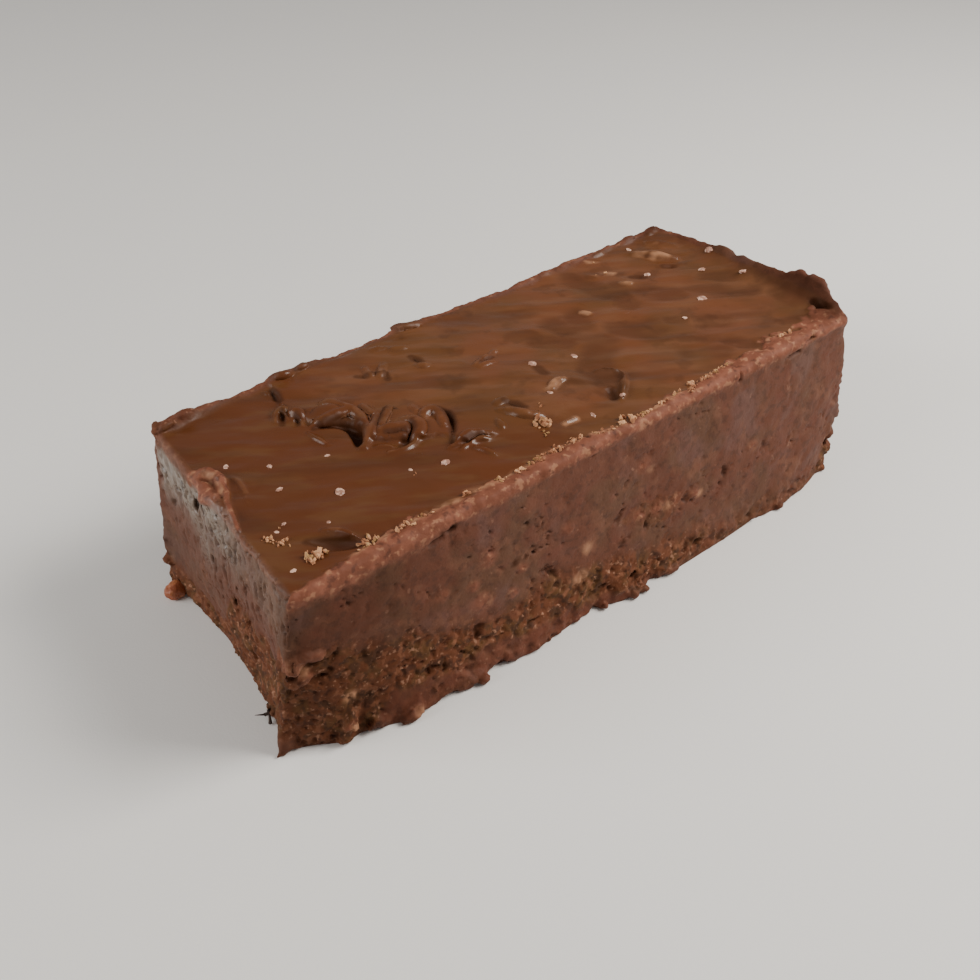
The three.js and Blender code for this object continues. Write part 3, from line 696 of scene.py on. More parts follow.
def zones(points):
    """How far each point belongs to each zone, from 0 to 1.

    poured, lip and cut: the glossy top, the lip dragged over its edges, and the cut sides.
    crumbly, frayed, pitted and slitted: the crumbly foot, the torn edges, and where the sides have pits
    or upright slits.
    smeared: the left end, where the knife smeared a film of fat.
    spread and older: the plate of the last spread, and the top that it left bare.
    worked and dented: the top near its ridges and slots, and its soft dents.
    ruddy, painted_shade and tan: redder patches, painted shade in the slots, dents, cracks and hollows and
    on the burr, and tan sugary patches that also carry a faint painted highlight on the ridge crests.
    """
    x, y, z = points.T
    front, back, left, right, drop = insets(points)
    inset = np.min([front, back, left, right], axis=0)
    broad, ragged = wander(points, 9, 1), wander(points, 2.2, 2)
    fine = wander(points, 0.9, 3)
    on_top_side, on_front_side = fade(drop, 1.4, 2.6), fade(front, 2.5, 4)

    def speckled(level, coarse, small):
        """An uneven share about this level, from 0 to 1."""
        return np.clip(level + coarse * ragged + small * fine, 0, 1)

    def patches(spots):
        """1 in the spots of the front, which give x, z and width, and 0 past their ragged edges."""
        away = [np.hypot(x - at_x, 1.2 * (z - at_z)) / size + 0.35 * ragged for at_x, at_z, size in spots]
        return fade(np.min(away, axis=0), 0.3, 1.25) * on_front_side

    def lip(inset, reach, fall):
        """The skin that reaches this far over the top and falls this far down the side, in mm."""
        reach = reach * (1 + 0.35 * broad + 0.5 * ragged + 0.3 * fine)
        fall = fall * (1 + 0.3 * broad + 0.5 * ragged + 0.3 * fine)
        soft = fade(inset, reach - 0.2, reach + 0.3) * fade(drop, 0.3 * fall, 1.2 * fall + 0.8)
        return soft * fade(-drop, 0.9, 1.6)

    # The skin: what the knife dragged over each edge, and the curl on the left one.
    curled = np.exp(-(((y - 4.4) / 4) ** 4))
    lips = [
        lip(front, along(x, LIP_REACH), 0.9 + 1.5 * fade(x, -54, -10)),
        0.7 * lip(back, 1.0, 1.4),
        lip(left, 0.3 + 2.6 * curled, 0.2 + 0.8 * curled) * (0.3 + 0.7 * curled),
        0.6 * lip(right, 0.1, 1.0),
        near_ropes(points, CURL, 1.4) * on_top_side,
    ]
    lip_zone = np.max(lips, axis=0)
    crust = near_ropes(points, CORNER_CRUST, 1.6) * fade(drop, 1.4, 4)
    poured = np.maximum(fade(drop, 0.8, 2), step(inset, 1.6, 2.6) * step(z, HEIGHT - 6, HEIGHT - 4))
    poured = poured * step(inset, 0.1, 0.9) * step(back, 0.9, 2.6 + ragged) * (1 - lip_zone)
    poured = poured * (1 - crust)
    cut = (1 - np.maximum(poured, lip_zone)) * step(z, 0.05, 0.6)

    # The crumbly foot: a band and a patch on the front, a rim on the hidden sides, and part of the left end.
    band_top = along(x, CRUMBLY_TOP) + 1.6 * broad + 1.6 * ragged + 0.8 * fine
    band_foot = along(x, CRUMBLY_FOOT) + 0.8 * broad + 0.8 * ragged
    above_foot = step(z, band_foot - 1.2, band_foot + 1.2)
    band = fade(z, band_top - 3.2, band_top + 2.4) * above_foot * on_front_side
    band = band * (1 - 0.5 * step(x, 5, 35))
    patch = np.exp(-(((x - 11 + (z - 14)) / 7.5) ** 2) - ((z - 14.5) / 3.2) ** 2) > 0.45 + 0.3 * ragged
    band = np.maximum(band, 0.5 * patch * on_front_side)
    strip = on_front_side * (1 - above_foot) * step(band_foot, 0.5, 2.5)
    hidden_top = 7 + 3.5 * broad + 2 * ragged
    hidden = fade(z, hidden_top - 2.2, hidden_top + 1.6) * np.maximum(fade(back, 2.5, 4), fade(right, 2.5, 4))
    end_top = 16 - 11 * step(y, -4, 4) + 1.6 * ragged
    end = fade(z, end_top - 1.2, end_top + 0.6) * fade(left, 2.5, 4)
    tooth = fade(x, -59.6, -58.6) * fade(z, 2, 4.5)
    crumbly = np.max([band, 0.35 * strip, hidden, end, 0.6 * crust], axis=0) * cut * (1 - 0.8 * tooth)

    # How the cut sides are torn, pitted and slit, and the film of fat on the left end.
    edges = np.maximum(fade(right, 1, 3) * fade(z, 20, 26), fade(left, 1, 3) * fade(z, 17, 20))
    frayed = np.max([fade(z, 1.5, 6), edges * fade(front, 2, 5), 0.8 * crust], axis=0) * (1 - tooth)
    pitted = cut * step(drop, 1, 4) * (0.2 + 0.8 * step(broad + 0.4 * ragged, 0, 0.45))
    pitted = pitted * (1 - 0.6 * step(x, 12, 40))
    slitted = cut * fade(left, 1, 2.4) * step(z, 9, 15) * (1 - 0.7 * step(y, 3, 12))
    smeared = step(z, end_top - 0.5, end_top + 3) * fade(left, 0.8, 1.8) * step(front, 0.2, 0.9)
    smeared = smeared * step(back, 0.2, 3.5) * cut * (0.1 + 0.9 * step(z + 6 * broad, 15, 28))
    smeared = smeared * blend(0.25, 1, step(y, -13, 2)) * (1 - step(y, 4, 9) * fade(drop, 1.2, 2.4))

    # The top: the plate of the last spread, and how the knife's strokes streak the dents.
    torn_edge = along(y, TORN_EDGE) + 0.4 * ragged
    spread = step(x - torn_edge, -0.3, 0.9) * fade(x, -6, 16) * step(y, -16, -11)
    spread = spread * step(inset, 0.6, 2) * fade(drop, 1.5, 3)
    older = 0.8 * poured * fade(x - torn_edge, -1, 12)
    turn = math.radians(KNIFE_TURN)
    strokes = (x * math.cos(turn) + y * math.sin(turn)) / KNIFE_STRETCH
    streaks = wander(np.column_stack((strokes, y * math.cos(turn) - x * math.sin(turn), z)), 1.8, 9)
    dents = near_ropes(points, DENTS, 2.4) * on_top_side

    # Colours that lie over the zones: redder, pinker and tan, with painted shade and a faint painted
    # highlight.
    ruddy = 0.35 * step(ragged + 0.5 * broad, 0.25, 0.6) * step(z, 8, 14) * step(left, 1.5, 3)
    ruddy = np.max([ruddy, (0.7 + 0.3 * ragged) * strip, 0.8 * crust], axis=0)
    pink = patches(PINK_LUMPS) * speckled(0.7, 0.5, 0.3)
    tan_spots = patches(TAN_PATCHES)
    burr = step(-drop, 0.15, 1.4) * step(right, -1.3, -0.8) * fade(right, 4, 8)
    # Painted shade in the slots, the dents, the burr's inner side and the torn corner's hollow, and darker
    # over the front's left end, partly painted shade and partly a moister end.
    shaded = [
        0.55 * near_ropes(points, SLOTS, 1.4) * on_top_side,
        0.36 * step(dents * (0.85 + 0.7 * streaks), 0.1, 0.9),
        burr * (0.45 + 0.25 * fade(y, -12, 2)),
        near_ropes(points, CORNER_HOLLOW_SHADE, 1.6) * step(-drop, -1.5, 0) * fade(-drop, 2.2, 3.4),
        0.36 * cut * on_front_side * fade(x, -52, -22),
    ]
    # The painted shade, kept off pink and tan lumps, the painted shade of the front's cracks and undercuts,
    # and darker patches at the top's right end and low on the left end.
    painted_shade = [
        np.max(shaded, axis=0) * (1 - 0.9 * np.maximum(pink, tan_spots)),
        0.85 * patches(CRACK_SHADE),
        0.14 * on_top_side * step(x, 42, 50) * step(ragged + 2 * broad, -0.6, 0.4),
        0.2 * cut * fade(left, 2, 4) * fade(z + 4 * broad, 17, 26),
    ]
    seam = np.exp(-(((front - along(x, LIP_REACH) + 0.2 * ragged) / 0.4) ** 2))
    sugary = [
        near_ropes(points, TAN_SMEARS, 2) * speckled(0.6, 0.9, 0.5),
        speckled(0.5, 0.5, 1) * seam * step(x, -48, -44) * fade(x, 8, 30),
        # A faint painted highlight on the ridge crests, in broken patches.
        0.12 * near_ropes(points, RIDGES, 0.8) * step(ragged + 0.7 * fine, 0, 0.35) * step(-drop, -0.4, 0.2),
    ]
    tan = np.maximum(np.max(sugary, axis=0) * on_top_side, tan_spots * speckled(0.75, 0.6, 0.5))

    return {
        "poured": poured,
        "lip": np.maximum(lip_zone, pink),
        "cut": cut,
        "crumbly": crumbly,
        "frayed": frayed * cut,
        "pitted": pitted,
        "slitted": slitted,
        "smeared": smeared,
        "spread": spread,
        "older": older,
        "worked": near_ropes(points, RIDGES + SLOTS, 3) * on_top_side,
        "dented": dents,
        "ruddy": ruddy * cut,
        "painted_shade": np.max(painted_shade, axis=0),
        "tan": tan,
    }


def near_ropes(points, ropes, reach):
    """How close each point is to the ropes that lie along the top, from 0 to 1: 1 inside a rope, and 0
    past this many times its radius."""
    x, y = points[:, 0], points[:, 1]
    close = np.zeros(len(points))
    for rope_points in ropes:
        for (x0, y0, *_, r0), (x1, y1, *_, r1) in zip(rope_points, rope_points[1:]):
            run = np.array((x1 - x0, y1 - y0))
            share = np.clip(((x - x0) * run[0] + (y - y0) * run[1]) / max(run @ run, 1e-6), 0, 1)
            away = np.hypot(x - x0 - share * run[0], y - y0 - share * run[1]) / blend(r0, r1, share)
            close = np.maximum(close, 1 - step(away, 0.5, reach))
    return close


# Tan smears of sugary fudge in the top, the painted shade of the hollow in its torn corner, and the crust
# of its far corner, given as the dents are.
TAN_SMEARS = [
    [(-54.2, 6.6, 0.3), (-53.4, 5, 0.4)],
    [(-53.6, 2.4, 0.3), (-54, 1, 0.3)],
    [(46.6, 18.9, 0.8), (48.6, 16.2, 1.2), (50.2, 14.4, 0.7)],
    [(23.4, 9, 0.35), (24, 7.6, 0.45)],
    [(36.6, 12.3, 0.5), (37.4, 11.2, 0.5)],
    [(36.6, 17.8, 0.5), (37.9, 16.6, 0.5)],
    [(34.7, 18, 0.4), (35.2, 17.6, 0.4)],
    [(36.9, 22.8, 0.5), (37.4, 22.2, 0.5)],
    [(2.2, -8.1, 0.6), (5.7, -7, 0.5)],
    [(-2, -16.8, 0.5), (0.2, -16.9, 0.5)],
]
CORNER_HOLLOW_SHADE = [[(57.8, -20.0, 1.0), (57.3, -16.6, 1.1)]]
CORNER_CRUST = [[(-57.0, 22.4, 2.2), (-52.2, 22.2, 1.7), (-48.6, 22.8, 1.0)]]

# Pinkish lumps of the front: x, z and width in mm.
PINK_LUMPS = [
    (-26.2, 14, 2.4), (-27.4, 17.8, 1.6), (-24.5, 21.6, 2.2), (-18.2, 16.8, 1.4), (-20.4, 13, 1.4),
    (-57.6, 17.8, 2.4), (-54.8, 18.8, 1.6), (-56.4, 15.2, 1.5), (-51.4, 3.8, 1.6), (-40.8, 1.6, 1.3),
    (6.8, 14.6, 1.5), (11, 14.2, 1.7), (15.4, 14.8, 1.5), (19.6, 13.6, 1.2), (8, 24, 1.8), (34, 17, 1.6),
    (-33, 19, 1.5), (-8.6, 19.4, 1.4),
]

# Tan patches of the front, given in the same way.
TAN_PATCHES = [
    (-4.6, 13.9, 1.4), (-6.8, 8.9, 1.9), (20.8, 13.1, 1.1), (13, 14, 1.1), (-56.6, 17, 1.2),
    (-50.8, 3.1, 1.3), (-50.4, 8.9, 1.6), (-40.6, 1.4, 1.1), (9.6, 22.6, 0.9),
]

# Painted shade in the cracks and undercuts of the front, given in the same way.
CRACK_SHADE = [
    (-55.2, 17.4, 1.3), (-58, 15.2, 0.9), (-53, 15.2, 1.1), (-49.8, 6.6, 0.9), (-7.6, 7, 1), (-5.8, 7.2, 0.8),
    (3.1, 11.6, 0.8), (2.7, 16.8, 0.7), (19.2, 4.4, 1.1), (17.4, 4, 0.9), (5.3, 3.6, 1.1), (7.2, 3.4, 0.8),
    (-30, 30.2, 0.9), (-32, 29.6, 0.8), (-17.2, 18.6, 0.7), (-19.4, 18.2, 0.7), (9.2, 13.6, 0.7),
    (-27.6, 8.6, 0.9), (-23.6, 9, 0.8), (-34.2, 6.2, 0.9),
]


# ---------------------------------------------------------------- relief

def grain_texture(length, depth=2, kind="CLOUDS"):
    """A texture with lumps of this length in mm. Clouds have finer lumps on them, to this depth."""
    texture = bpy.data.textures.new(kind.lower(), kind)
    texture.noise_scale = length * MM
    if kind == "CLOUDS":
        texture.noise_depth = depth
    return texture


def relief(piece, zone, height, texture=None, middle=0.5, guide=None):
    """Raises and sinks the surface of a zone by a texture that spans height mm in all."""
    finish_modifier(
        piece,
        "DISPLACE",
        texture=texture,
        texture_coords="OBJECT" if guide else "LOCAL",
        texture_coords_object=guide,
        strength=height * MM,
        mid_level=middle,
        vertex_group=zone,
    )


def pits_texture(length, start, end, depth=2):
    """Pits of uneven outline: 0 where the clouds are under start, and 1 where they are over end."""
    texture = grain_texture(length, depth)
    texture.use_color_ramp = True
    ramp = texture.color_ramp.elements
    ramp[0].color, ramp[1].color = (0, 0, 0, 1), (1, 1, 1, 1)
    ramp[0].position, ramp[1].position = start, end
    return texture


def stretched_frame(turn, stretch):
    """A frame turned by degrees about the vertical and stretched along its axes, for relief that runs
    one way."""
    guide = new_piece(bpy.ops.object.empty_add, rotation=(0, 0, math.radians(turn)))
    guide.scale = stretch
    bpy.context.view_layer.update()
    return guide


# The zones that have relief of their own.
ZONES_SHAPED = (
    "poured", "lip", "cut", "crumbly", "smeared", "spread", "dented", "pitted", "frayed", "slitted", "worked",
)


def raise_relief(body):
    """Lays the relief of each zone over the bar, its large forms first and its grain and pits on them."""
    weights = zones(points_of(body))
    for name in ZONES_SHAPED:
        paint_group(body, name, weights[name])
    strokes = stretched_frame(KNIFE_TURN, (KNIFE_STRETCH, 1, 1))
    slits = stretched_frame(0, (1, 1, SLIT_STRETCH))
    for zone, height in (("spread", SPREAD_RISE), ("dented", -0.3), ("lip", 0.25)):
        relief(body, zone, height, middle=0)
    relief(body, "lip", 1.1, grain_texture(4))
    relief(body, "lip", 0.45, grain_texture(1.2))
    relief(body, "poured", 0.9, grain_texture(3.6, 1), guide=strokes)
    relief(body, "poured", 0.16, grain_texture(1.2, 1), guide=strokes)
    relief(body, "cut", 1, grain_texture(8, 3))
    relief(body, "cut", 0.4, grain_texture(2.2))
    relief(body, "pitted", 0.5, pits_texture(1, 0.2, 0.34), middle=1, guide=strokes)
    relief(body, "pitted", 0.8, pits_texture(2.2, 0.2, 0.32, 3), middle=1)
    relief(body, "smeared", 0.6, grain_texture(2.6))
    relief(body, "smeared", 0.8, pits_texture(2.4, 0.22, 0.36, 3), middle=1)
    relief(body, "slitted", 0.7, pits_texture(1, 0.26, 0.4), middle=1, guide=slits)
    relief(body, "crumbly", -0.3, grain_texture(1.5, kind="VORONOI"))
    relief(body, "crumbly", 0.5, grain_texture(0.9))
    relief(body, "crumbly", 0.9, grain_texture(3.2))
    relief(body, "frayed", 1.2, grain_texture(2.2))
    relief(body, "crumbly", 0.4, pits_texture(1.4, 0.26, 0.42), middle=1)
    finish_modifier(body, "SMOOTH", factor=0.5, iterations=3, vertex_group="worked")
    for guide in (strokes, slits):
        bpy.data.objects.remove(guide)


def rest_flat(piece):
    """Trims what hangs below the base, so that a piece rests flat."""
    only(piece)
    bpy.ops.object.mode_set(mode="EDIT")
    bpy.ops.mesh.select_all(action="SELECT")
    bpy.ops.mesh.bisect(
        plane_co=(0, 0, BASE_TRIM * MM), plane_no=(0, 0, 1), use_fill=True, clear_inner=True, threshold=1e-7
    )
    bpy.ops.object.mode_set(mode="OBJECT")


def thin_out(body):
    """Merges triangles where the surface is flat, down to what one piece may have, and least where it is
    worked."""
    finish_modifier(body, "TRIANGULATE")
    ratio = MOST_TRIANGLES / len(body.data.polygons)
    if ratio < 1:
        sparing = {"vertex_group": "worked", "invert_vertex_group": True, "vertex_group_factor": 1.5}
        finish_modifier(body, "DECIMATE", ratio=ratio, **sparing)


# The zones that the material reads.
ZONES_SEEN = ("poured", "older", "worked", "lip", "crumbly", "ruddy", "smeared", "painted_shade", "tan")


def store_zones(body):
    """Keeps the zones that the material reads as attributes of the finished mesh."""
    body.vertex_groups.clear()
    weights = zones(points_of(body))
    for name in ZONES_SEEN:
        attribute = body.data.attributes.new(name, "FLOAT", "POINT")
        attribute.data.foreach_set("value", weights[name].astype(np.float32))


# ---------------------------------------------------------------- crumbs and grains

# Tan crumbs on the top and its lip: x, y, the cluster's width in mm, how many crumbs, and their size in mm.
CRUMB_CLUSTERS = [
    (-50.1, -19.8, 3.4, 16, 1.5), (-53.6, -12.9, 2.2, 12, 0.8), (-52.2, -14.8, 2, 9, 0.9),
    (-5, -14.8, 3.2, 18, 1.4), (-41.4, -21.4, 1.6, 5, 1.5), (-43.2, -21.3, 1.4, 5, 1.3),
    (-37.9, -22.6, 1.8, 6, 1.1), (-36, -22.8, 1.4, 5, 1), (-18.8, -22.2, 1.6, 6, 0.9),
    (-15.6, -22.8, 1.4, 5, 0.9), (-11.9, -22.4, 1.6, 6, 1), (-7.6, -21.4, 2.4, 12, 1),
    (-6.6, -17.2, 1.6, 5, 0.8), (5.9, -22.8, 3, 15, 1.5), (2.6, -23.1, 1.8, 8, 0.9), (0, -21.6, 0.8, 2, 1),
    (-3.8, -20.9, 0.8, 2, 1), (21.8, -21.6, 1.6, 6, 1.1), (19.8, -22.9, 1.4, 5, 1), (26.6, -22, 1.2, 4, 0.8),
    (44.2, -20.8, 1.2, 4, 0.9), (46.4, -20.4, 1.4, 5, 0.9), (-3, -11, 1.4, 4, 0.7), (-28.6, -13, 0.8, 2, 0.6),
    (-50.8, -11, 0.8, 2, 0.5), (36.8, 17.6, 1, 3, 0.6), (34.9, 17.8, 0.6, 2, 0.5), (37.4, 22, 0.8, 2, 0.5),
]

# How many small groups of crumbs lie along the front lip, and between which x, in mm.
LIP_GROUPS, LIP_SPAN = 44, (-44, 30)

# Pale sugar grains: x, y and width in mm.
SUGAR_GRAINS = [
    (-39.6, -9.4, 1.7), (-46.6, -3.2, 1), (-23.2, -13.6, 1.4), (-28.4, -11.6, 0.6), (4.6, -0.1, 1.4),
    (12.4, -2, 1.1), (-45, 2.7, 0.9), (-36.6, -0.6, 0.8), (43.6, -1.9, 1.7), (51.8, 6.4, 1.2),
    (42.6, 11.8, 1.2), (46.7, 21.6, 1), (1.2, -9.2, 0.8), (-50.4, 6.7, 0.8), (-50.1, -10.9, 0.6),
    (-51.8, -11.8, 0.6), (-44.7, -14.5, 0.6), (-54, -20.4, 0.7), (56.5, 0, 1.2), (57.6, 10.2, 1.6),
    (3.2, -17.8, 0.8), (10.3, -16.9, 0.8), (36.4, -4.8, 0.8),
]


def scatter_crumbs(skin, random_from):
    """The tan crumbs in their clusters, and along the inner edge of the front lip."""
    shapes = [rough_ball(2, grain, 0.75) for grain in (0.5, 0.36, 0.27)]
    for shape in shapes:
        finish_modifier(shape, "DECIMATE", ratio=0.5)
    spots = []
    for x, y, width, count, most in CRUMB_CLUSTERS:
        for _ in range(count):
            reach = width / 2 * math.sqrt(random_from.random())
            angle = random_from.uniform(0, math.tau)
            size = most * random_from.uniform(0.45, 1.1) * (1.15 - 0.5 * reach / (width / 2))
            spots.append((x + reach * math.cos(angle), y + reach * math.sin(angle), size))
    for _ in range(LIP_GROUPS):
        middle = random_from.uniform(*LIP_SPAN)
        for _ in range(random_from.randint(1, 6)):
            x = random_from.gauss(middle, 0.7)
            edge = place(x / LENGTH + 0.5, 0, 1)[1] + along(x, LIP_REACH)
            spots.append((x, edge + random_from.gauss(0, 0.3), random_from.uniform(0.3, 0.8)))
    crumbs = []
    for x, y, width in spots:
        at = on_top(x, y, skin) + Vector((0, 0, 0.15 * width))
        size = [width * random_from.uniform(*span) for span in ((0.8, 1.8), (0.5, 1.0), (0.3, 0.7))]
        turn = [random_from.uniform(0, 360) for _ in range(3)]
        crumbs.append(copy_of(random_from.choice(shapes), at, size, turn))
    for shape in shapes:
        bpy.data.objects.remove(shape)
    crumbs = join(crumbs)
    crumbs.name = "tan_crumbs"
    return crumbs


def scatter_sugar(skin, random_from):
    """Sugar grains that are half sunk in the top."""
    shape = rough_ball(2, 0.4, 0.6)
    grains = []
    for x, y, width in SUGAR_GRAINS:
        at = on_top(x, y, skin) - Vector((0, 0, 0.08 * width))
        size = (width * random_from.uniform(1.1, 1.8), width * random_from.uniform(0.85, 1.25), 0.6 * width)
        grains.append(copy_of(shape, at, size, (0, 0, random_from.uniform(0, 360))))
    bpy.data.objects.remove(shape)
    grains = join(grains)
    grains.name = "sugar_grains"
    return grains


# The caramel-brown crumb: its middle and size in mm, and its turn in degrees.
CARAMEL_CRUMB = ((-58.5, 19.3, 1.3), (3.9, 3.7, 3.1), (0, 0, 20))


def caramel_crumb():
    """The caramel-brown crumb that leans on the foot of the left end."""
    shape = rough_ball(4, 0.4, 0.25)
    crumb = copy_of(shape, *CARAMEL_CRUMB)
    bpy.data.objects.remove(shape)
    crumb.name = "caramel_crumb"
    rest_flat(crumb)
    bpy.ops.object.shade_smooth()
    return crumb


# The hair-like points of the dark shaving: each one's middle and length in mm, and its turn and tilt in
# degrees. All have the same wide and narrow radius, in mm, and number of sides.
SHAVING_POINTS = [
    ((-59.9, -14.9, 0.9), 3.6, 155, 82),
    ((-59.3, -15.5, 0.8), 2.8, 65, 75),
    ((-59.1, -14.8, 1.3), 2.8, 235, 40),
    ((-58.7, -15, 0.9), 2.4, 350, 80),
]
SHAVING_TAPER = (0.34, 0.03, 6)


def dark_shaving():
    """A tiny dark shaving with hair-like points, beside the foot of the left end."""
    points = []
    for at, length, turn, tilt in SHAVING_POINTS:
        points.append(pulled_point(at, length, *SHAVING_TAPER, turn, tilt))
    shaving = join(points)
    shaving.name = "dark_shaving"
    recast(shaving, SHAVING_CAST)
    rest_flat(shaving)
    return shaving


# ---------------------------------------------------------------- materials

def linear(hex_colour):
    """An sRGB hex colour as linear red, green, blue and alpha."""
    channels = [int(hex_colour[i : i + 2], 16) / 255 for i in (1, 3, 5)]
    return (*(c / 12.92 if c <= 0.04045 else ((c + 0.055) / 1.055) ** 2.4 for c in channels), 1)


def new_material(name):
    material = bpy.data.materials.new(name)
    material.use_nodes = True
    material.node_tree.nodes.clear()
    return material


def add(tree, kind, inputs=None, out=0, **settings):
    """Adds a node with its settings, sets or links its inputs, and returns one of its outputs. The inputs
    of a Mix node share their names, so they go by number: 0 is its share, 2 and 3 are its two values, and
    6 and 7 its two colours, which come out of 2."""
    node = tree.nodes.new("ShaderNode" + kind)
    for name, value in settings.items():
        setattr(node, name, value)
    for name, value in (inputs or {}).items():
        if isinstance(value, bpy.types.NodeSocket):
            tree.links.new(value, node.inputs[name])
        else:
            node.inputs[name].default_value = value
    return node.outputs[out] if node.outputs else None


def lay_patches(tree, coords, colour, patches):
    """Lays cloudy patches over a colour. Each gives its width in mm, the noise values where its edge
    starts and ends, how strong it is, and its colour."""
    for width, start, end, most, paint in patches:
        cloud = add(tree, "TexNoise", {"Vector": coords, "Scale": 1 / (width * MM), "Detail": 3.0})
        share = {"Value": cloud, "From Min": start, "From Max": end, "To Max": most}
        share = add(tree, "MapRange", share, interpolation_type="SMOOTHSTEP")
        colour = add(tree, "Mix", {0: share, 6: colour, 7: linear(paint)}, out=2, data_type="RGBA")
    return colour


def fudge_material():
    """Chocolate fudge: cocoa, sugar and butter, beaten and poured. The top set against air, so it has a
    glossy skin with the knife's strokes in it. The sides were cut, so they are matte and mottled, with
    olive, greyer and redder patches, and the crumbly band shows tan sugar specks between dark gaps. The
    knife smeared fat up the left end, which gives it a pale sheen with a soft bloom over a darker brown."""
    material = new_material("chocolate fudge, poured and cut")
    tree = material.node_tree
    coords = add(tree, "TexCoord", out="Object")
    zone = {name: add(tree, "Attribute", out="Fac", attribute_name=name) for name in ZONES_SEEN}
    knife_turn, knife_stretch = (0, 0, math.radians(KNIFE_TURN)), (KNIFE_STRETCH, 1, 1)
    knife_way = {"Vector": coords, "Rotation": knife_turn, "Scale": knife_stretch}
    knife_way = add(tree, "Mapping", knife_way, vector_type="TEXTURE")
    upright = add(tree, "Mapping", {"Vector": coords, "Scale": (1, 1, SLIT_STRETCH)}, vector_type="TEXTURE")
    strokes = add(tree, "TexNoise", {"Vector": knife_way, "Scale": 1 / (3.4 * MM), "Detail": 2.0})
    grain = add(tree, "TexNoise", {"Vector": coords, "Scale": 1 / (0.5 * MM), "Detail": 3.0})

    top = lay_patches(tree, coords, linear("#643a21"), [(16, 0.4, 0.62, 1.0, "#5b381d")])
    top = lay_patches(tree, knife_way, top, [
        (3.2, 0.44, 0.66, 0.5, "#6d462c"),
        (5.5, 0.5, 0.68, 0.45, "#442614"),
    ])
    top = lay_patches(tree, coords, top, [(5, 0.56, 0.68, 0.35, "#41240f")])
    older = lay_patches(tree, knife_way, linear("#552c15"), [
        (3.2, 0.46, 0.66, 0.5, "#5d3f22"),
        (6.5, 0.5, 0.66, 0.5, "#3f1f0d"),
    ])
    cut = lay_patches(tree, coords, linear("#5a311f"), [
        (13, 0.46, 0.62, 0.6, "#513622"),
        (9, 0.52, 0.68, 0.6, "#5b3d35"),
        (4.2, 0.53, 0.68, 0.6, "#6c432f"),
        (1.3, 0.52, 0.64, 0.45, "#3f2214"),
        (1.7, 0.66, 0.78, 0.5, "#8f6550"),
    ])
    foot = lay_patches(tree, coords, linear("#5e3219"), [
        (3.2, 0.46, 0.62, 0.7, "#583b1b"),
        (1.6, 0.48, 0.64, 0.65, "#30170c"),
        (1.7, 0.56, 0.66, 0.75, "#7b4c33"),
        (0.9, 0.6, 0.72, 0.8, "#9f735a"),
    ])
    edge = lay_patches(tree, coords, linear("#6f3e2a"), [
        (2.4, 0.42, 0.64, 0.8, "#834e39"),
        (1.2, 0.54, 0.66, 0.75, "#9a6b4f"),
        (1.5, 0.56, 0.68, 0.7, "#4b271a"),
    ])
    end = lay_patches(tree, coords, linear("#4a3421"), [
        (6, 0.44, 0.62, 0.8, "#533f2c"),
        (2.2, 0.54, 0.68, 0.6, "#332114"),
    ])
    end = lay_patches(tree, upright, end, [
        (1.2, 0.56, 0.64, 0.55, "#2c1e13"),
        (0.9, 0.6, 0.7, 0.5, "#6f5a46"),
    ])

    colour = cut
    # Painted shade is almost black brown; tan also carries the painted highlight of the ridge crests.
    ruddy, painted_shade, tan = linear("#5e2f20"), linear("#31190d"), linear("#996d50")
    for name, paint in (
        ("ruddy", ruddy), ("smeared", end), ("crumbly", foot), ("poured", top),
        ("older", older), ("lip", edge), ("painted_shade", painted_shade), ("tan", tan),
    ):
        colour = add(tree, "Mix", {0: zone[name], 6: colour, 7: paint}, out=2, data_type="RGBA")
    # Painted shade in creases and pits: the colour darkens to almost black where the surface is hollow.
    pointiness = add(tree, "NewGeometry", out="Pointiness")
    crease_shade = {"Value": pointiness, "From Min": 0.48, "From Max": 0.4, "To Max": 0.4}
    crease_shade = add(tree, "MapRange", crease_shade, interpolation_type="SMOOTHSTEP")
    colour = add(tree, "Mix", {0: crease_shade, 6: colour, 7: linear("#26120a")}, out=2, data_type="RGBA")

    roughness = add(tree, "Mix", {0: zone["crumbly"], 2: 0.66, 3: 0.8})
    shine = {"Value": strokes, "From Min": 0.35, "From Max": 0.65, "To Min": 0.27, "To Max": 0.4}
    shine = add(tree, "MapRange", shine)
    for name, value in (("smeared", 0.5), ("poured", shine), ("worked", 0.25), ("lip", 0.7), ("painted_shade", 0.8)):
        roughness = add(tree, "Mix", {0: zone[name], 2: roughness, 3: value})

    height = add(tree, "Mix", {0: zone["poured"], 2: grain, 3: strokes})
    strength = add(tree, "Mix", {0: zone["poured"], 2: 0.4, 3: 0.6})
    surface = {
        "Base Color": colour,
        "Roughness": roughness,
        "Normal": add(tree, "Bump", {"Height": height, "Distance": 0.2 * MM, "Strength": strength}),
        "IOR": 1.45,
        "Specular IOR Level": add(tree, "Mix", {0: zone["painted_shade"], 2: 0.35, 3: 0.06}),
        "Coat Weight": zone["smeared"],
        "Coat Roughness": 0.4,
        "Coat IOR": 1.5,
        "Sheen Weight": add(tree, "Math", {0: zone["smeared"], 1: 0.16}, operation="MULTIPLY"),
        "Sheen Roughness": 0.5,
        "Sheen Tint": linear("#f2d6b4"),
    }
    add(tree, "OutputMaterial", {"Surface": add(tree, "BsdfPrincipled", surface)})
    return material


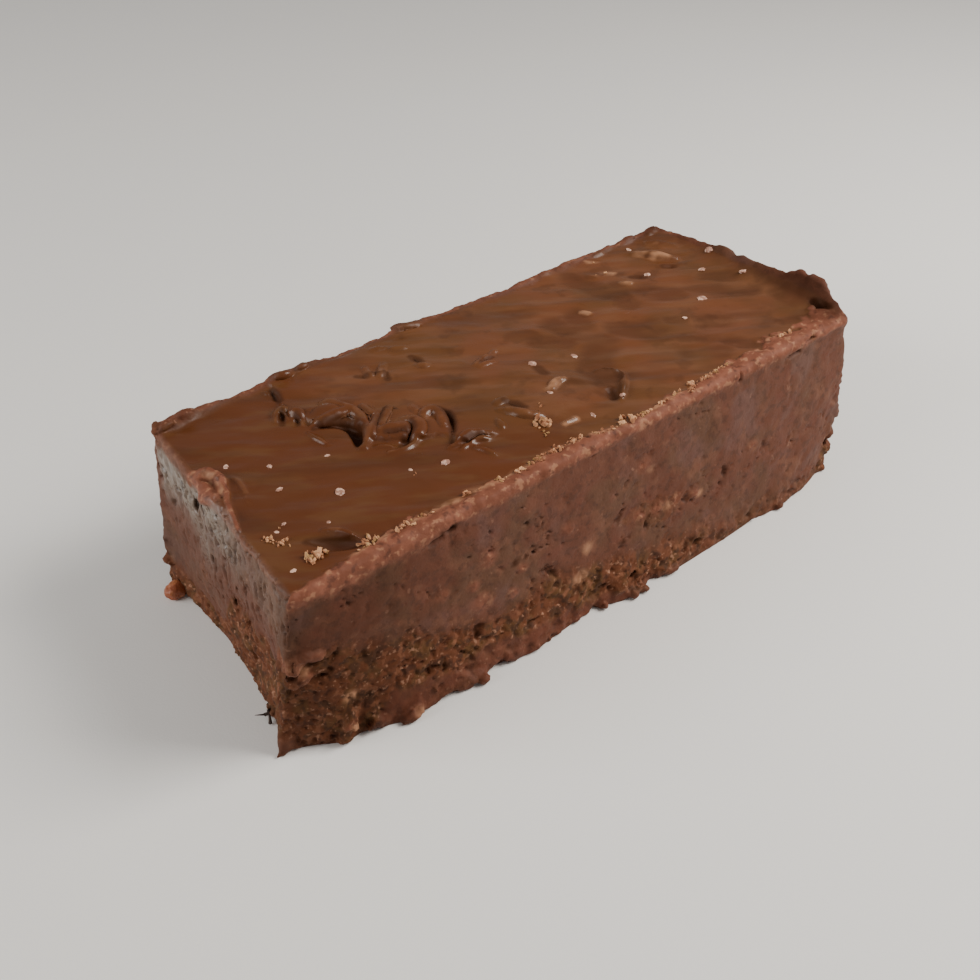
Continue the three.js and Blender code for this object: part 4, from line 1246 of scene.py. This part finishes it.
def grain_material(name, base, patches, roughness, bump, ior=None):
    """A crumb or grain: one colour with cloudy patches, and low relief this many mm high."""
    material = new_material(name)
    tree = material.node_tree
    coords = add(tree, "TexCoord", out="Object")
    rough = add(tree, "TexNoise", {"Vector": coords, "Scale": 1 / (0.4 * MM), "Detail": 3.0})
    surface = {
        "Base Color": lay_patches(tree, coords, linear(base), patches),
        "Roughness": roughness,
        "Normal": add(tree, "Bump", {"Height": rough, "Distance": bump * MM}),
    }
    if ior:
        surface["IOR"] = ior
    add(tree, "OutputMaterial", {"Surface": add(tree, "BsdfPrincipled", surface)})
    return material


def crumb_material():
    """Dry crumbs of the fudge's sugary crust: matte, tan, and browner in places."""
    patches = [(1.6, 0.42, 0.6, 0.9, "#cf9d74"), (2.4, 0.55, 0.65, 0.5, "#a0874f")]
    return grain_material("dry tan fudge crumb", "#9c6645", patches, 0.85, 0.06)


def sugar_material():
    """Sugar grains under a film of cocoa butter: pinkish white and glossy."""
    patches = [(0.8, 0.42, 0.6, 0.9, "#d8b19c")]
    return grain_material("sugar grain in cocoa butter", "#9c7260", patches, 0.3, 0.05, ior=1.5)


def caramel_material():
    """Caramelised fudge: denser and clearer than the rest, so it is orange brown and slightly glossy."""
    patches = [(2.2, 0.42, 0.6, 0.8, "#a8663f")]
    return grain_material("caramelised fudge crumb", "#87472a", patches, 0.45, 0.15, ior=1.45)


def shaving_material():
    """A dried shaving of the darkest fudge: almost black and matte."""
    patches = [(0.8, 0.42, 0.6, 0.8, "#46332a")]
    return grain_material("dried dark fudge shaving", "#2c1b14", patches, 0.8, 0.05)


def table_material():
    """A painted table top: pale and matte, with the faint unevenness of a rolled coat."""
    patches = [(60, 0.4, 0.6, 0.3, "#e9e7e4")]
    return grain_material("pale painted table top", "#e7e5e2", patches, 0.8, 0.02)


def dress(piece, material):
    piece.data.materials.clear()
    piece.data.materials.append(material)


# ---------------------------------------------------------------- the scene

def lay_floor():
    floor = new_piece(bpy.ops.mesh.primitive_plane_add, size=4)
    floor.name = "pale_floor"
    dress(floor, table_material())


def add_light(name, power, size, place_m, colour):
    """A square soft light, aimed at the bar."""
    light = new_piece(bpy.ops.object.light_add, type="AREA")
    light.name = name
    light.data.energy = power
    light.data.size = size
    light.data.color = colour
    light.location = place_m
    light.rotation_euler = (Vector(place_m) - Vector(LIGHT_AIM)).to_track_quat("Z", "Y").to_euler()


def light_scene():
    world = bpy.data.worlds.new("pale studio")
    bpy.context.scene.world = world
    world.use_nodes = True
    background = world.node_tree.nodes["Background"].inputs
    background["Color"].default_value = (1.0, 0.97, 0.95, 1)
    background["Strength"].default_value = 0.3
    add_light("key", 2.4, 0.22, (0.25, -0.18, 0.3), (1.0, 0.96, 0.9))
    add_light("window", 4.4, 0.5, (-0.6, 0.2, 0.25), (1.0, 0.98, 0.94))


def set_camera():
    """The camera looks down on the bar's front and left end."""
    camera = bpy.data.objects.new("camera", bpy.data.cameras.new("camera"))
    bpy.context.collection.objects.link(camera)
    camera.data.sensor_width = SENSOR
    camera.data.lens = LENS
    azimuth, elevation, roll = (math.radians(d) for d in CAMERA_TURN)
    turn = (
        Matrix.Rotation(azimuth, 4, "Z")
        @ Matrix.Rotation(math.pi / 2 - elevation, 4, "X")
        @ Matrix.Rotation(roll, 4, "Z")
    )
    target, distance = Vector(CAMERA_TARGET) * MM, CAMERA_DISTANCE * MM
    camera.matrix_world = Matrix.Translation(target + turn.col[2].to_3d() * distance) @ turn
    camera.data.clip_start = 0.01
    bpy.context.scene.camera = camera


def main():
    body = block
    model_forms(body)
    raise_relief(body)
    rest_flat(body)
    thin_out(body)
    store_zones(body)
    only(body)
    bpy.ops.object.shade_smooth()
    dress(body, fudge_material())

    bpy.context.view_layer.update()
    skin = BVHTree.FromObject(body, bpy.context.evaluated_depsgraph_get())
    random_from = random.Random(CRUMB_SEED)
    crumbs = scatter_crumbs(skin, random_from)
    grains = scatter_sugar(skin, random_from)
    caramel = caramel_crumb()
    shaving = dark_shaving()
    dress(crumbs, crumb_material())
    dress(grains, sugar_material())
    dress(caramel, caramel_material())
    dress(shaving, shaving_material())

    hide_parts("fudge_bar")
    for piece in (body, crumbs, grains, caramel, shaving):
        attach(piece, "root")
    lay_floor()
    light_scene()
    set_camera()


main()
